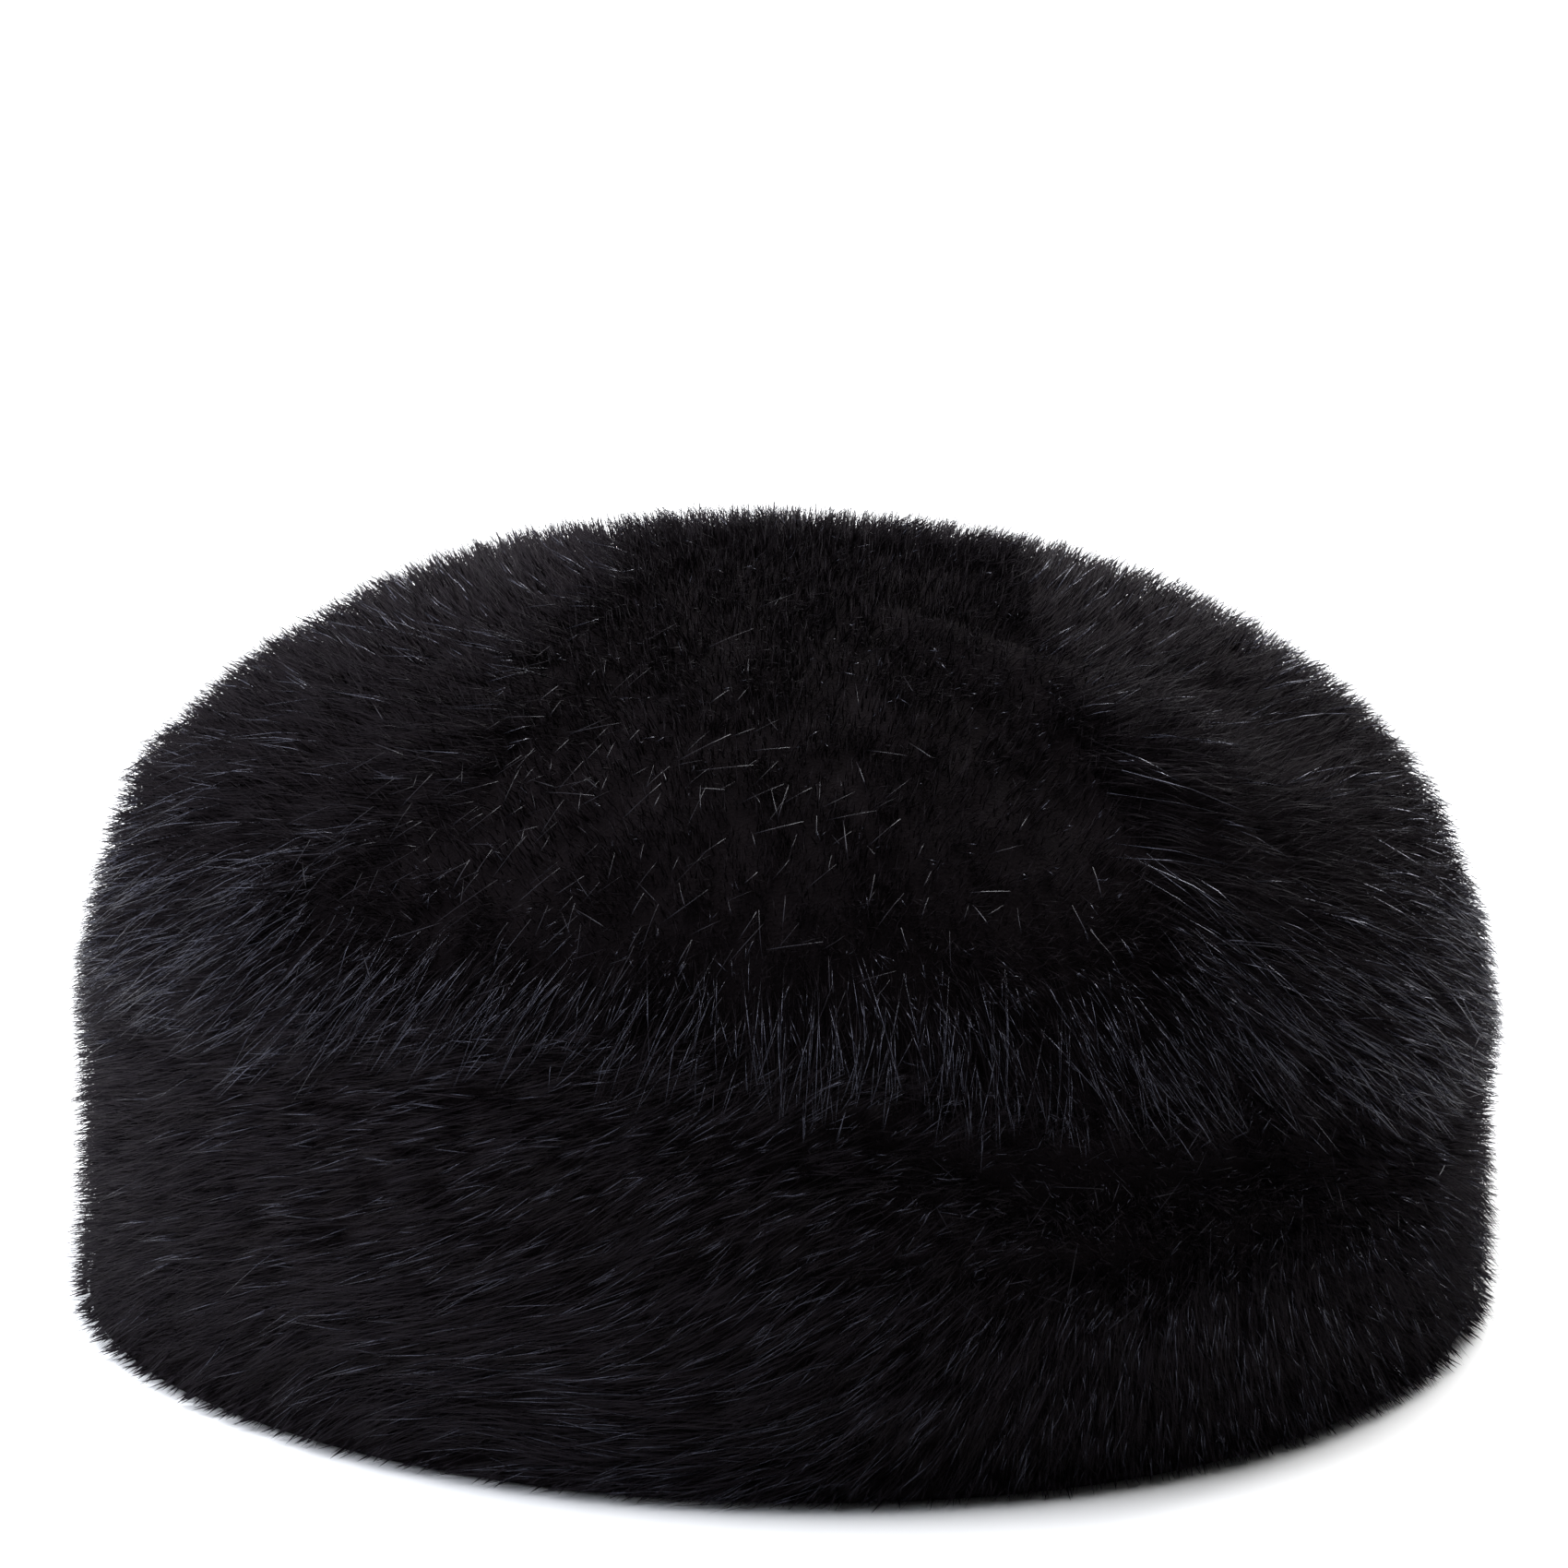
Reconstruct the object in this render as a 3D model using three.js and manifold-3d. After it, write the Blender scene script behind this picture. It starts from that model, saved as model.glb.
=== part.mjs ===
// A round hat of black long-pile fur: a domed crown over a deep band, hollow for the head.
// Millimetres, +Z up. The front of the hat faces -Y and its hem stands on z = 0.
// An azimuth is in degrees round the hat: 0 at the front, rising towards +X.
// A fall is the way down a domed form: 0 at its top, 1 where its straight side starts, 2 at the hem.
import * as THREE from 'three';
import { ParametricGeometry } from 'three/addons/geometries/ParametricGeometry.js';
import { mergeVertices } from 'three/addons/utils/BufferGeometryUtils.js';
import Module from 'manifold-3d';

const wasm = await Module();
wasm.setup();

// Driving dimensions

// The outer form is the surface that the tips of the fur reach.
const OUTER = { width: 251, depth: 272, height: 132.5, shoulder: 40, across: 2.2, up: 2.65 };
// The hollow fits a head of about 57 cm round the brow.
const HOLLOW = { width: 172, depth: 192, height: 106, shoulder: 34, across: 2.2, up: 2.3 };
// Height of the locks' crests over the dense fur under them.
const LOCK_RELIEF = 5;
const HEM_ROUNDING = 1.5;
// One side of the crown sits lower than the other: drop for each millimetre across, at full height.
const SLUMP = 0.015;
const JOINT_GAP = 0.4;
// How far the hollow and the floor are cut beyond the hem.
const CUT_BEYOND = 30;

// Fur lies in tapering locks, set in rows that run round the hat. A lock's root is sunk
// in the dense fur, and its middle is wider than a plain cone's by the swell.
const LOCK = { length: 37, halfWidth: 11, thickness: 4, rootDepth: 4, swell: 1, sides: 3, steps: 2 };
const CROWN_LOCKS = { rows: 7, pitch: 22.5, firstRoot: 6, lastRoot: 32 };
const BAND_LOCKS = { rows: 4, pitch: 26, spacing: 17, firstRoot: 2, lowestRoot: 4 };
// Largest change from lock to lock, in degrees, as a share and in millimetres.
const SCATTER = { heading: 12, length: 0.15, tip: 0.9, root: 0.25 };
const FEWEST_IN_ROW = 5;
// Seeds of the scatter, so that no two locks share one.
const ROW_SEED = 1000;
const BAND_SEED = 50000;

// Height of the crown's hanging tips over the hem, and how far the band's nap is swept
// from straight down towards falling azimuth.
const ROUND_THE_HAT = [
  { azimuth: -180, tips: 42, sweep: 62 },
  { azimuth: -90, tips: 46, sweep: 74 },
  { azimuth: -53, tips: 62, sweep: 72 },
  { azimuth: -27, tips: 71, sweep: 62 },
  { azimuth: 0, tips: 69, sweep: 48 },
  { azimuth: 36, tips: 57, sweep: 24 },
  { azimuth: 67, tips: 41, sweep: 34 },
  { azimuth: 90, tips: 38, sweep: 58 },
  { azimuth: 180, tips: 42, sweep: 62 },
];

// The joint between crown and band, from the outside in: reach is the share of the
// outer half-width, rise the height over the crown's tips there.
const JOINT = [
  { reach: 1.2, rise: -10 },
  { reach: 1.02, rise: -4 },
  { reach: 0.92, rise: 8 },
  { reach: 0.6, rise: 15 },
];
const JOINT_MIDDLE = 60;
const JOINT_TOP = 160;

// A soft groove runs round the band under the crown's hanging tips.
const GROOVE = { depth: 4, below: 4, halfHeight: 11 };

// Creases and swellings of the crown. Depth is inwards, and below zero for a swelling.
const DENTS = [
  { azimuth: 42, height: 113, halfSpan: 15, halfHeight: 21, depth: 6 },
  { azimuth: 57, height: 118, halfSpan: 17, halfHeight: 14, depth: -2.5 },
  { azimuth: 74, height: 112, halfSpan: 16, halfHeight: 14, depth: 4.5 },
  { azimuth: 102, height: 76, halfSpan: 18, halfHeight: 12, depth: 3 },
  { azimuth: -33, height: 113, halfSpan: 18, halfHeight: 20, depth: 4 },
  { azimuth: -100, height: 87, halfSpan: 28, halfHeight: 13, depth: -2 },
  { azimuth: -116, height: 108, halfSpan: 18, halfHeight: 11, depth: 3 },
];
// They fade out this near to the middle of the top.
const DENTS_FADE_WITHIN = 45;

const FUR_COLOUR = 0x17151a;
const FUR_ROUGHNESS = 0.8;

// Steps of the smooth forms: round the hat, and from the top to the hem.
const FUR_STEPS = { round: 34, down: 11 };
const HOLLOW_STEPS = { round: 32, down: 6 };

// The dense fur under the locks' crests.
const MASS = {
  ...OUTER,
  width: OUTER.width - 2 * LOCK_RELIEF,
  depth: OUTER.depth - 2 * LOCK_RELIEF,
  height: OUTER.height - LOCK_RELIEF,
};

// Measures

// A number from -1 to 1 that is always the same for the same seed: the far digits of a sine.
function scatter(seed) {
  const value = Math.sin(seed * 12.9898) * 43758.5453;
  return 2 * (value - Math.floor(value)) - 1;
}

// 1 at the middle of a span, falling smoothly to 0 at its ends.
function hump(offset, half) {
  return 0.5 + 0.5 * Math.cos(Math.PI * Math.min(1, Math.abs(offset) / half));
}

// The turn from one azimuth to another, from -180 up to 180.
function turnBetween(from, to) {
  return THREE.MathUtils.euclideanModulo(to - from + 180, 360) - 180;
}

// A column of the table round the hat, eased from row to row.
function roundTheHat(column, azimuth) {
  const turned = turnBetween(0, azimuth);
  const next = Math.max(1, ROUND_THE_HAT.findIndex((row) => row.azimuth >= turned));
  const from = ROUND_THE_HAT[next - 1];
  const to = ROUND_THE_HAT[next];
  const share = (turned - from.azimuth) / (to.azimuth - from.azimuth);
  return THREE.MathUtils.lerp(from[column], to[column], THREE.MathUtils.smoothstep(share, 0, 1));
}

// A point at a share of a form's half-width and half-depth, at a height.
function ovalPoint(form, azimuth, reach, z) {
  const turn = THREE.MathUtils.degToRad(azimuth);
  const x = (form.width / 2) * reach * Math.sin(turn);
  const y = (-form.depth / 2) * reach * Math.cos(turn);
  return new THREE.Vector3(x, y, z);
}

// A point on a domed oval form, whose section over the straight side is a superellipse.
function formPoint(form, azimuth, fall) {
  const turn = Math.min(fall, 1) * (Math.PI / 2);
  const reach = Math.sin(turn) ** (2 / form.across);
  const rise = (form.height - form.shoulder) * Math.max(0, Math.cos(turn)) ** (2 / form.up);
  const sideFall = form.shoulder * Math.max(0, fall - 1);
  return ovalPoint(form, azimuth, reach, form.shoulder + rise - sideFall);
}

// The fall at a height on a form.
function fallAtHeight(form, z) {
  if (z <= form.shoulder) return 2 - z / form.shoulder;
  const share = (z - form.shoulder) / (form.height - form.shoulder);
  return Math.acos(share ** (form.up / 2)) / (Math.PI / 2);
}

// How far the dents, the rounded hem and, on the band, the groove draw the fur in.
function drawnIn(azimuth, point, grooved) {
  const { z } = point;
  const fromTop = THREE.MathUtils.smoothstep(Math.hypot(point.x, point.y), 0, DENTS_FADE_WITHIN);
  let inwards = 0;
  for (const dent of DENTS) {
    const across = hump(turnBetween(azimuth, dent.azimuth), dent.halfSpan);
    inwards += fromTop * dent.depth * across * hump(z - dent.height, dent.halfHeight);
  }
  if (grooved) {
    const middle = roundTheHat('tips', azimuth) - GROOVE.below;
    inwards += GROOVE.depth * hump(z - middle, GROOVE.halfHeight);
  }
  const underHem = THREE.MathUtils.clamp(1 - z / HEM_ROUNDING, 0, 1);
  return inwards + HEM_ROUNDING * (1 - Math.sqrt(1 - underHem ** 2));
}

// A point on the dense fur.
function furPoint(azimuth, fall, grooved) {
  const point = formPoint(MASS, azimuth, fall);
  const arm = point.clone().sub(new THREE.Vector3(0, 0, Math.min(point.z, MASS.shoulder)));
  point.addScaledVector(arm.normalize(), -drawnIn(azimuth, point, grooved));
  point.z -= SLUMP * point.x * Math.max(0, point.z / MASS.height) ** 2;
  return point;
}

// The ways along the dense fur at a place, each from two near points: by a degree round the
// hat, by a unit of fall, and straight out.
const NUDGE = 0.01;
function furFrame(azimuth, fall, grooved) {
  const here = furPoint(azimuth, fall, grooved);
  const round = furPoint(azimuth + NUDGE, fall, grooved).sub(here).divideScalar(NUDGE);
  const down = furPoint(azimuth, fall + NUDGE, grooved).sub(here).divideScalar(NUDGE);
  const out = new THREE.Vector3().crossVectors(down, round).normalize();
  return { here, round, down, out };
}

// Short strides are added up to measure a way down the dense fur.
const WAY_STRIDES = 80;

// The fall after a length of way from the top.
function fallAfter(azimuth, length) {
  let gone = 0;
  let before = formPoint(MASS, azimuth, 0);
  for (let step = 1; step <= WAY_STRIDES; step += 1) {
    const here = formPoint(MASS, azimuth, (2 * step) / WAY_STRIDES);
    const stride = here.distanceTo(before);
    if (gone + stride >= length) return (2 * (step - 1 + (length - gone) / stride)) / WAY_STRIDES;
    gone += stride;
    before = here;
  }
  return 2;
}

// The length of way from the top to a height.
function wayToHeight(azimuth, z) {
  const last = fallAtHeight(MASS, z);
  let gone = 0;
  let before = formPoint(MASS, azimuth, 0);
  for (let step = 1; step <= WAY_STRIDES; step += 1) {
    const here = formPoint(MASS, azimuth, (last * step) / WAY_STRIDES);
    gone += here.distanceTo(before);
    before = here;
  }
  return gone;
}

// Solids

// Points nearer than this are one point.
const MERGE_WITHIN = 1e-4;

// Turns a closed geometry into a solid that can be joined and cut.
function solidOf(geometry) {
  const bare = new THREE.BufferGeometry();
  bare.setAttribute('position', geometry.getAttribute('position'));
  bare.setIndex(geometry.index);
  const merged = mergeVertices(bare, MERGE_WITHIN);
  const corners = merged.index.array;
  const faces = [];
  for (let i = 0; i < corners.length; i += 3) {
    const [a, b, c] = corners.slice(i, i + 3);
    if (a !== b && b !== c && c !== a) faces.push(a, b, c);
  }
  const made = new wasm.Manifold(new wasm.Mesh({
    numProp: 3,
    vertProperties: new Float32Array(merged.getAttribute('position').array),
    triVerts: new Uint32Array(faces),
  }));
  if (made.volume() <= 0) throw new Error('a solid is inside out');
  return made;
}

// A closed solid from points by azimuth and row: the first row is its top, the last its underside.
function roundSolid(pointInRow, steps) {
  const surface = (u, v, target) => target.copy(pointInRow(-360 * (u % 1), Math.round(v * steps.down)));
  return solidOf(new ParametricGeometry(surface, steps.round, steps.down));
}

// The whole of the dense fur: a dome down to the hem and a flat underside.
function massSolid(grooved) {
  const hemRow = FUR_STEPS.down - 1;
  const pointInRow = (azimuth, row) => {
    if (row > hemRow) return new THREE.Vector3(0, 0, 0);
    if (row === hemRow) return furPoint(azimuth, 2, grooved);
    return furPoint(azimuth, fallAfter(azimuth, (row / hemRow) * wayToHeight(azimuth, 0)), grooved);
  };
  return roundSolid(pointInRow, FUR_STEPS);
}

// The hollow for the head, which runs on below the hem so that it opens there.
function hollowSolid() {
  const sideRow = HOLLOW_STEPS.down - 2;
  const pointInRow = (azimuth, row) => {
    if (row <= sideRow) return formPoint(HOLLOW, azimuth, row / sideRow);
    return ovalPoint(HOLLOW, azimuth, row === sideRow + 1 ? 1 : 0, -CUT_BEYOND);
  };
  return roundSolid(pointInRow, HOLLOW_STEPS);
}

// Everything above the joint, raised a little for the crown and lowered for the band.
function aboveJoint(lift) {
  const rows = 2 + JOINT.length;
  const pointInRow = (azimuth, row) => {
    if (row === 0) return new THREE.Vector3(0, 0, JOINT_TOP);
    if (row === 1) return ovalPoint(OUTER, azimuth, JOINT[0].reach, JOINT_TOP);
    if (row === rows) return new THREE.Vector3(0, 0, JOINT_MIDDLE + lift);
    const { reach, rise } = JOINT[row - 2];
    return ovalPoint(OUTER, azimuth, reach, roundTheHat('tips', azimuth) + rise + lift);
  };
  return roundSolid(pointInRow, { round: FUR_STEPS.round, down: rows });
}

function floorSolid() {
  const floor = new THREE.BoxGeometry(2 * OUTER.width, 2 * OUTER.depth, CUT_BEYOND);
  return solidOf(floor.translate(0, 0, -CUT_BEYOND / 2));
}

// One lock: a three-sided cone laid along the nap, its root sunk in the dense fur and its
// tip up at the outer form. Heading is in degrees from straight down towards falling azimuth.
function lockSolid(root, heading, seed, grooved) {
  const length = LOCK.length * (1 + SCATTER.length * scatter(seed + 0.1));
  const tipLift = LOCK_RELIEF + SCATTER.tip * scatter(seed + 0.2);
  const turn = THREE.MathUtils.degToRad(heading + SCATTER.heading * scatter(seed + 0.3));
  const { round, down } = furFrame(root.azimuth, root.fall, grooved);
  const perTurn = (-Math.sin(turn) * length) / round.length();
  const perFall = (Math.cos(turn) * length) / down.length();
  const cone = new THREE.ConeGeometry(1, 1, LOCK.sides, LOCK.steps).translate(0, 0.5, 0);
  const place = cone.getAttribute('position');
  for (let i = 0; i < place.count; i += 1) {
    const along = place.getY(i);
    const frame = furFrame(root.azimuth + perTurn * along, root.fall + perFall * along, grooved);
    const nap = frame.round.multiplyScalar(perTurn).addScaledVector(frame.down, perFall);
    const side = nap.normalize().cross(frame.out);
    const swell = 1 + LOCK.swell * along;
    const lift = -LOCK.rootDepth + (tipLift + LOCK.rootDepth) * along;
    frame.here.addScaledVector(side, place.getX(i) * LOCK.halfWidth * swell);
    frame.here.addScaledVector(frame.out, place.getZ(i) * LOCK.thickness * swell + lift);
    place.setXYZ(i, frame.here.x, frame.here.y, frame.here.z);
  }
  return solidOf(cone);
}

// The azimuths of the locks in a row round the hat at a fall. Every other row is half a pitch on.
function azimuthsInRow(fall, pitch, row) {
  const { x } = formPoint(MASS, 90, fall);
  const { y } = formPoint(MASS, 180, fall);
  const girth = 2 * Math.PI * Math.hypot(x, y) * Math.SQRT1_2;
  const count = Math.max(FEWEST_IN_ROW, Math.round(girth / pitch));
  return Array.from({ length: count }, (_, i) => {
    const place = i + (row % 2) / 2 + SCATTER.root * scatter(ROW_SEED * row + i);
    return turnBetween(0, (360 * place) / count);
  });
}

// The crown's locks fan out from its top and hang over the band at the lower edge.
function crownLocks() {
  const { rows, pitch, firstRoot, lastRoot } = CROWN_LOCKS;
  const locks = [];
  for (let row = 0; row < rows; row += 1) {
    const share = row / (rows - 1);
    const wayAt = (azimuth) => {
      const last = wayToHeight(azimuth, roundTheHat('tips', azimuth)) - lastRoot;
      return fallAfter(azimuth, THREE.MathUtils.lerp(firstRoot, last, share));
    };
    for (const azimuth of azimuthsInRow(wayAt(-90), pitch, row)) {
      const root = { azimuth, fall: wayAt(azimuth) };
      locks.push(lockSolid(root, 0, ROW_SEED * row + azimuth, false));
    }
  }
  return locks;
}

// The band's locks are combed round the hat, and start under the crown's tips.
function bandLocks() {
  const { rows, pitch, spacing, firstRoot, lowestRoot } = BAND_LOCKS;
  const locks = [];
  for (let row = 0; row < rows; row += 1) {
    for (const azimuth of azimuthsInRow(1, pitch, row)) {
      const z = roundTheHat('tips', azimuth) - firstRoot - spacing * row;
      if (z < lowestRoot) continue;
      const root = { azimuth, fall: fallAtHeight(MASS, z) };
      locks.push(lockSolid(root, roundTheHat('sweep', azimuth), BAND_SEED + ROW_SEED * row + azimuth, true));
    }
  }
  return locks;
}

const joined = (whole, piece) => whole.add(piece);

// The largest body of a solid, without the crumbs that a cut leaves.
function mainBody(solid) {
  return solid.decompose().reduce((most, body) => (body.volume() > most.volume() ? body : most));
}

function furMesh(name, solid) {
  const made = mainBody(solid).getMesh();
  const geometry = new THREE.BufferGeometry();
  geometry.setAttribute('position', new THREE.BufferAttribute(made.vertProperties, 3));
  geometry.setIndex(new THREE.BufferAttribute(made.triVerts, 1));
  geometry.computeVertexNormals();
  const material = new THREE.MeshStandardMaterial({
    color: FUR_COLOUR,
    roughness: FUR_ROUGHNESS,
    metalness: 0,
  });
  const mesh = new THREE.Mesh(geometry, material);
  mesh.name = name;
  return mesh;
}

const hollow = hollowSolid();

const crown = crownLocks()
  .reduce(joined, massSolid(false))
  .subtract(hollow)
  .intersect(aboveJoint(JOINT_GAP / 2));

const band = bandLocks()
  .reduce(joined, massSolid(true))
  .subtract(hollow)
  .subtract(aboveJoint(-JOINT_GAP / 2))
  .subtract(floorSolid());

const hat = new THREE.Group();
hat.add(furMesh('crown', crown));
hat.add(furMesh('band', band));

export default hat;
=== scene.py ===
"""A round hat of black long-pile faux fur: a domed crown that hangs over an upright band.

Metres, +Z up, the front of the hat facing -Y and its hem on z = 0. An azimuth is in degrees round
the hat, 0 at the front and rising towards +X. A fall is the way down a domed form: 0 at its top,
1 where its straight side starts and 2 at the hem. A place on the hat is a pair of numbers, the
fall laid out flat in the azimuth's direction, so that places are even over the top too.
"""

from __future__ import annotations

import logging
import math
from dataclasses import dataclass
from enum import Enum

import bpy
import numpy as np
from mathutils import Matrix, Vector

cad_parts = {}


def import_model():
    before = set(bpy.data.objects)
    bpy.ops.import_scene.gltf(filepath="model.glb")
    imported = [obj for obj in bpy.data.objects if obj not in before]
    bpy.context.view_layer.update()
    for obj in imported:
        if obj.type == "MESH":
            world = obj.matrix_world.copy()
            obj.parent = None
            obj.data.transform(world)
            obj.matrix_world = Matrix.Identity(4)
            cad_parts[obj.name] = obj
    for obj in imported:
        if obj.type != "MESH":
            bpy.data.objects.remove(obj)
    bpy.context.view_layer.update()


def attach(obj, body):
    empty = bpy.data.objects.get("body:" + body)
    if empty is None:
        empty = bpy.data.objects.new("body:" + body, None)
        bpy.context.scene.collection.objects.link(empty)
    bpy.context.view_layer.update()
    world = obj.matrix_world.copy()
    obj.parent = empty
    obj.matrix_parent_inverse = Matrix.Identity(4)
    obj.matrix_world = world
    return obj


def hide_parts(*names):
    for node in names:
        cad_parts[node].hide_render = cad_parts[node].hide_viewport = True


LOG = logging.getLogger("fur_hat")
MM = 0.001
# The hairs' map has the name of the map that the export bakes over, so that one map does for both.
PILE_MAP = "OFBake"
CLOTH_MAP = "Cloth"
# The strips of the pile map, one a shade, and the margins as shares of a strip and of the map.
STRIPS = 48
STRIP_MARGIN = 0.06
MAP_MARGIN = 0.01
# How far under the crown's tips the band's hairs start, in fall.
BAND_UNDER_TIPS = 0.06
# How far a random draw may go, in its own scatter or, for a run, as a share of the run.
LEAN_LIMITS = (-2.0, 1.3)
TIP_LIMITS = (-1.4, 2.2)
EDGE_LIMITS = (-0.7, 0.4)
RUN_LIMITS = (0.45, 1.3)
# Added to a layer's seed, so that its places and thicknesses are drawn apart from its courses.
PLACE_DRAWS = 900
THICKNESS_DRAWS = 500


class Region(Enum):
    """The two pelts that the hat is sewn from."""

    CROWN = "crown"
    BAND = "band"


@dataclass(frozen=True)
class Station:
    """What changes round the hat, at one azimuth.

    tips is the height of the crown's hanging tips, sweep the turn of the band's nap from straight
    down towards falling azimuth, and stand how much less the fur leans over, both in degrees.
    """

    azimuth: float
    tips: float
    sweep: float
    stand: float


ROUND_THE_HAT = (
    Station(azimuth=-180, tips=42 * MM, sweep=62, stand=8),
    Station(azimuth=-90, tips=46 * MM, sweep=60, stand=16),
    Station(azimuth=-53, tips=62 * MM, sweep=66, stand=6),
    Station(azimuth=-27, tips=71 * MM, sweep=73, stand=0),
    Station(azimuth=0, tips=69 * MM, sweep=60, stand=0),
    Station(azimuth=36, tips=60 * MM, sweep=24, stand=4),
    Station(azimuth=67, tips=46 * MM, sweep=12, stand=11),
    Station(azimuth=90, tips=42 * MM, sweep=-6, stand=14),
    Station(azimuth=125, tips=42 * MM, sweep=40, stand=12),
    Station(azimuth=180, tips=42 * MM, sweep=62, stand=8),
)


@dataclass(frozen=True)
class Fall:
    """How the crown's side nap turns from straight down towards falling azimuth, in degrees."""

    azimuth: float
    upper: float
    fringe: float


CROWN_FALLS = (
    Fall(azimuth=-180, upper=0, fringe=5),
    Fall(azimuth=-125, upper=30, fringe=30),
    Fall(azimuth=-90, upper=36, fringe=50),
    Fall(azimuth=-60, upper=42, fringe=38),
    Fall(azimuth=-35, upper=28, fringe=22),
    Fall(azimuth=-15, upper=10, fringe=16),
    Fall(azimuth=0, upper=0, fringe=10),
    Fall(azimuth=20, upper=-8, fringe=4),
    Fall(azimuth=36, upper=-20, fringe=-20),
    Fall(azimuth=50, upper=-34, fringe=-34),
    Fall(azimuth=72, upper=-42, fringe=-42),
    Fall(azimuth=95, upper=-38, fringe=-34),
    Fall(azimuth=130, upper=-16, fringe=-12),
    Fall(azimuth=180, upper=0, fringe=5),
)


@dataclass(frozen=True)
class CrownLean:
    """How far hairs lean over from upright, in degrees, at a share of the way down the crown."""

    share: float
    strip: float
    sides: float


CROWN_LEANS = (
    CrownLean(share=0.0, strip=58, sides=44),
    CrownLean(share=0.25, strip=58, sides=50),
    CrownLean(share=0.45, strip=44, sides=58),
    CrownLean(share=0.65, strip=23, sides=61),
    CrownLean(share=0.78, strip=28, sides=63),
    CrownLean(share=0.86, strip=36, sides=65),
    CrownLean(share=0.93, strip=50, sides=66),
    CrownLean(share=1.0, strip=64, sides=67),
)


@dataclass(frozen=True)
class BandLean:
    """How far the band's hairs lean over from upright, in degrees, at its top and at its hem.

    more_turn is how much further than at the hem the nap turns at the top.
    """

    azimuth: float
    top: float
    hem: float
    more_turn: float


BAND_LEANS = (
    BandLean(azimuth=-180, top=62, hem=60, more_turn=0),
    BandLean(azimuth=-60, top=64, hem=66, more_turn=0),
    BandLean(azimuth=-38, top=48, hem=68, more_turn=0),
    BandLean(azimuth=-22, top=44, hem=68, more_turn=0),
    BandLean(azimuth=-6, top=49, hem=62, more_turn=0),
    BandLean(azimuth=12, top=44, hem=56, more_turn=30),
    BandLean(azimuth=24, top=37, hem=57, more_turn=84),
    BandLean(azimuth=38, top=51, hem=57, more_turn=72),
    BandLean(azimuth=49, top=44, hem=56, more_turn=60),
    BandLean(azimuth=60, top=30, hem=54, more_turn=24),
    BandLean(azimuth=71, top=46, hem=54, more_turn=-50),
    BandLean(azimuth=90, top=60, hem=58, more_turn=-62),
    BandLean(azimuth=120, top=60, hem=60, more_turn=0),
    BandLean(azimuth=180, top=62, hem=60, more_turn=0),
)


@dataclass(frozen=True)
class Swirl:
    """A patch where the nap turns further towards falling azimuth, or back, in degrees."""

    region: Region
    azimuth: float
    height: float
    half_span: float
    half_height: float
    turn: float


SWIRLS = (
    Swirl(Region.BAND, azimuth=-16, height=12 * MM, half_span=32, half_height=20 * MM, turn=30),
    Swirl(Region.BAND, azimuth=-55, height=4 * MM, half_span=38, half_height=24 * MM, turn=-24),
    Swirl(Region.CROWN, azimuth=28, height=92 * MM, half_span=14, half_height=14 * MM, turn=-30),
)


@dataclass(frozen=True)
class Dent:
    """A crease or, where its depth is below zero, a swelling of the crown."""

    azimuth: float
    height: float
    half_span: float
    half_height: float
    depth: float


DENTS = (
    Dent(azimuth=36, height=113 * MM, half_span=12, half_height=20 * MM, depth=2.6 * MM),
    Dent(azimuth=51, height=116 * MM, half_span=16, half_height=17 * MM, depth=-4.4 * MM),
    Dent(azimuth=74, height=112 * MM, half_span=16, half_height=14 * MM, depth=4.5 * MM),
    Dent(azimuth=112, height=127 * MM, half_span=30, half_height=10 * MM, depth=-1.4 * MM),
    Dent(azimuth=102, height=76 * MM, half_span=18, half_height=12 * MM, depth=3 * MM),
    Dent(azimuth=-33, height=113 * MM, half_span=18, half_height=20 * MM, depth=3 * MM),
    Dent(azimuth=-68, height=2 * MM, half_span=26, half_height=16 * MM, depth=-2 * MM),
    Dent(azimuth=-5, height=0 * MM, half_span=58, half_height=26 * MM, depth=3.4 * MM),
    Dent(azimuth=-100, height=87 * MM, half_span=28, half_height=13 * MM, depth=-2 * MM),
    Dent(azimuth=-116, height=108 * MM, half_span=18, half_height=11 * MM, depth=1.5 * MM),
)


def hump(offset: np.ndarray, half: float) -> np.ndarray:
    """Gives half of (1 + cosine): 1 at the middle of a span and 0 from its ends on."""
    return 0.5 + 0.5 * np.cos(np.pi * np.minimum(1.0, np.abs(offset) / half))


def eased(value: np.ndarray) -> np.ndarray:
    """Gives 3 v^2 - 2 v^3 of a value held between 0 and 1."""
    held = np.clip(value, 0.0, 1.0)
    return held * held * (3.0 - 2.0 * held)


def unit(vectors: np.ndarray) -> np.ndarray:
    """Brings vectors to length 1 along the last axis."""
    return vectors / np.maximum(np.linalg.norm(vectors, axis=-1, keepdims=True), 1e-12)


def turned(way: np.ndarray, out: np.ndarray, degrees: np.ndarray) -> np.ndarray:
    """Turns vectors that lie on a surface round its outward ones: way cos t + (out x way) sin t."""
    angle = np.radians(degrees)[:, None]
    return way * np.cos(angle) + np.cross(out, way) * np.sin(angle)


def turn_between(start: float, azimuth: np.ndarray) -> np.ndarray:
    """Gives the turn from one azimuth to others, from -180 up to 180 degrees."""
    return np.mod(azimuth - start + 180.0, 360.0) - 180.0


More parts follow.
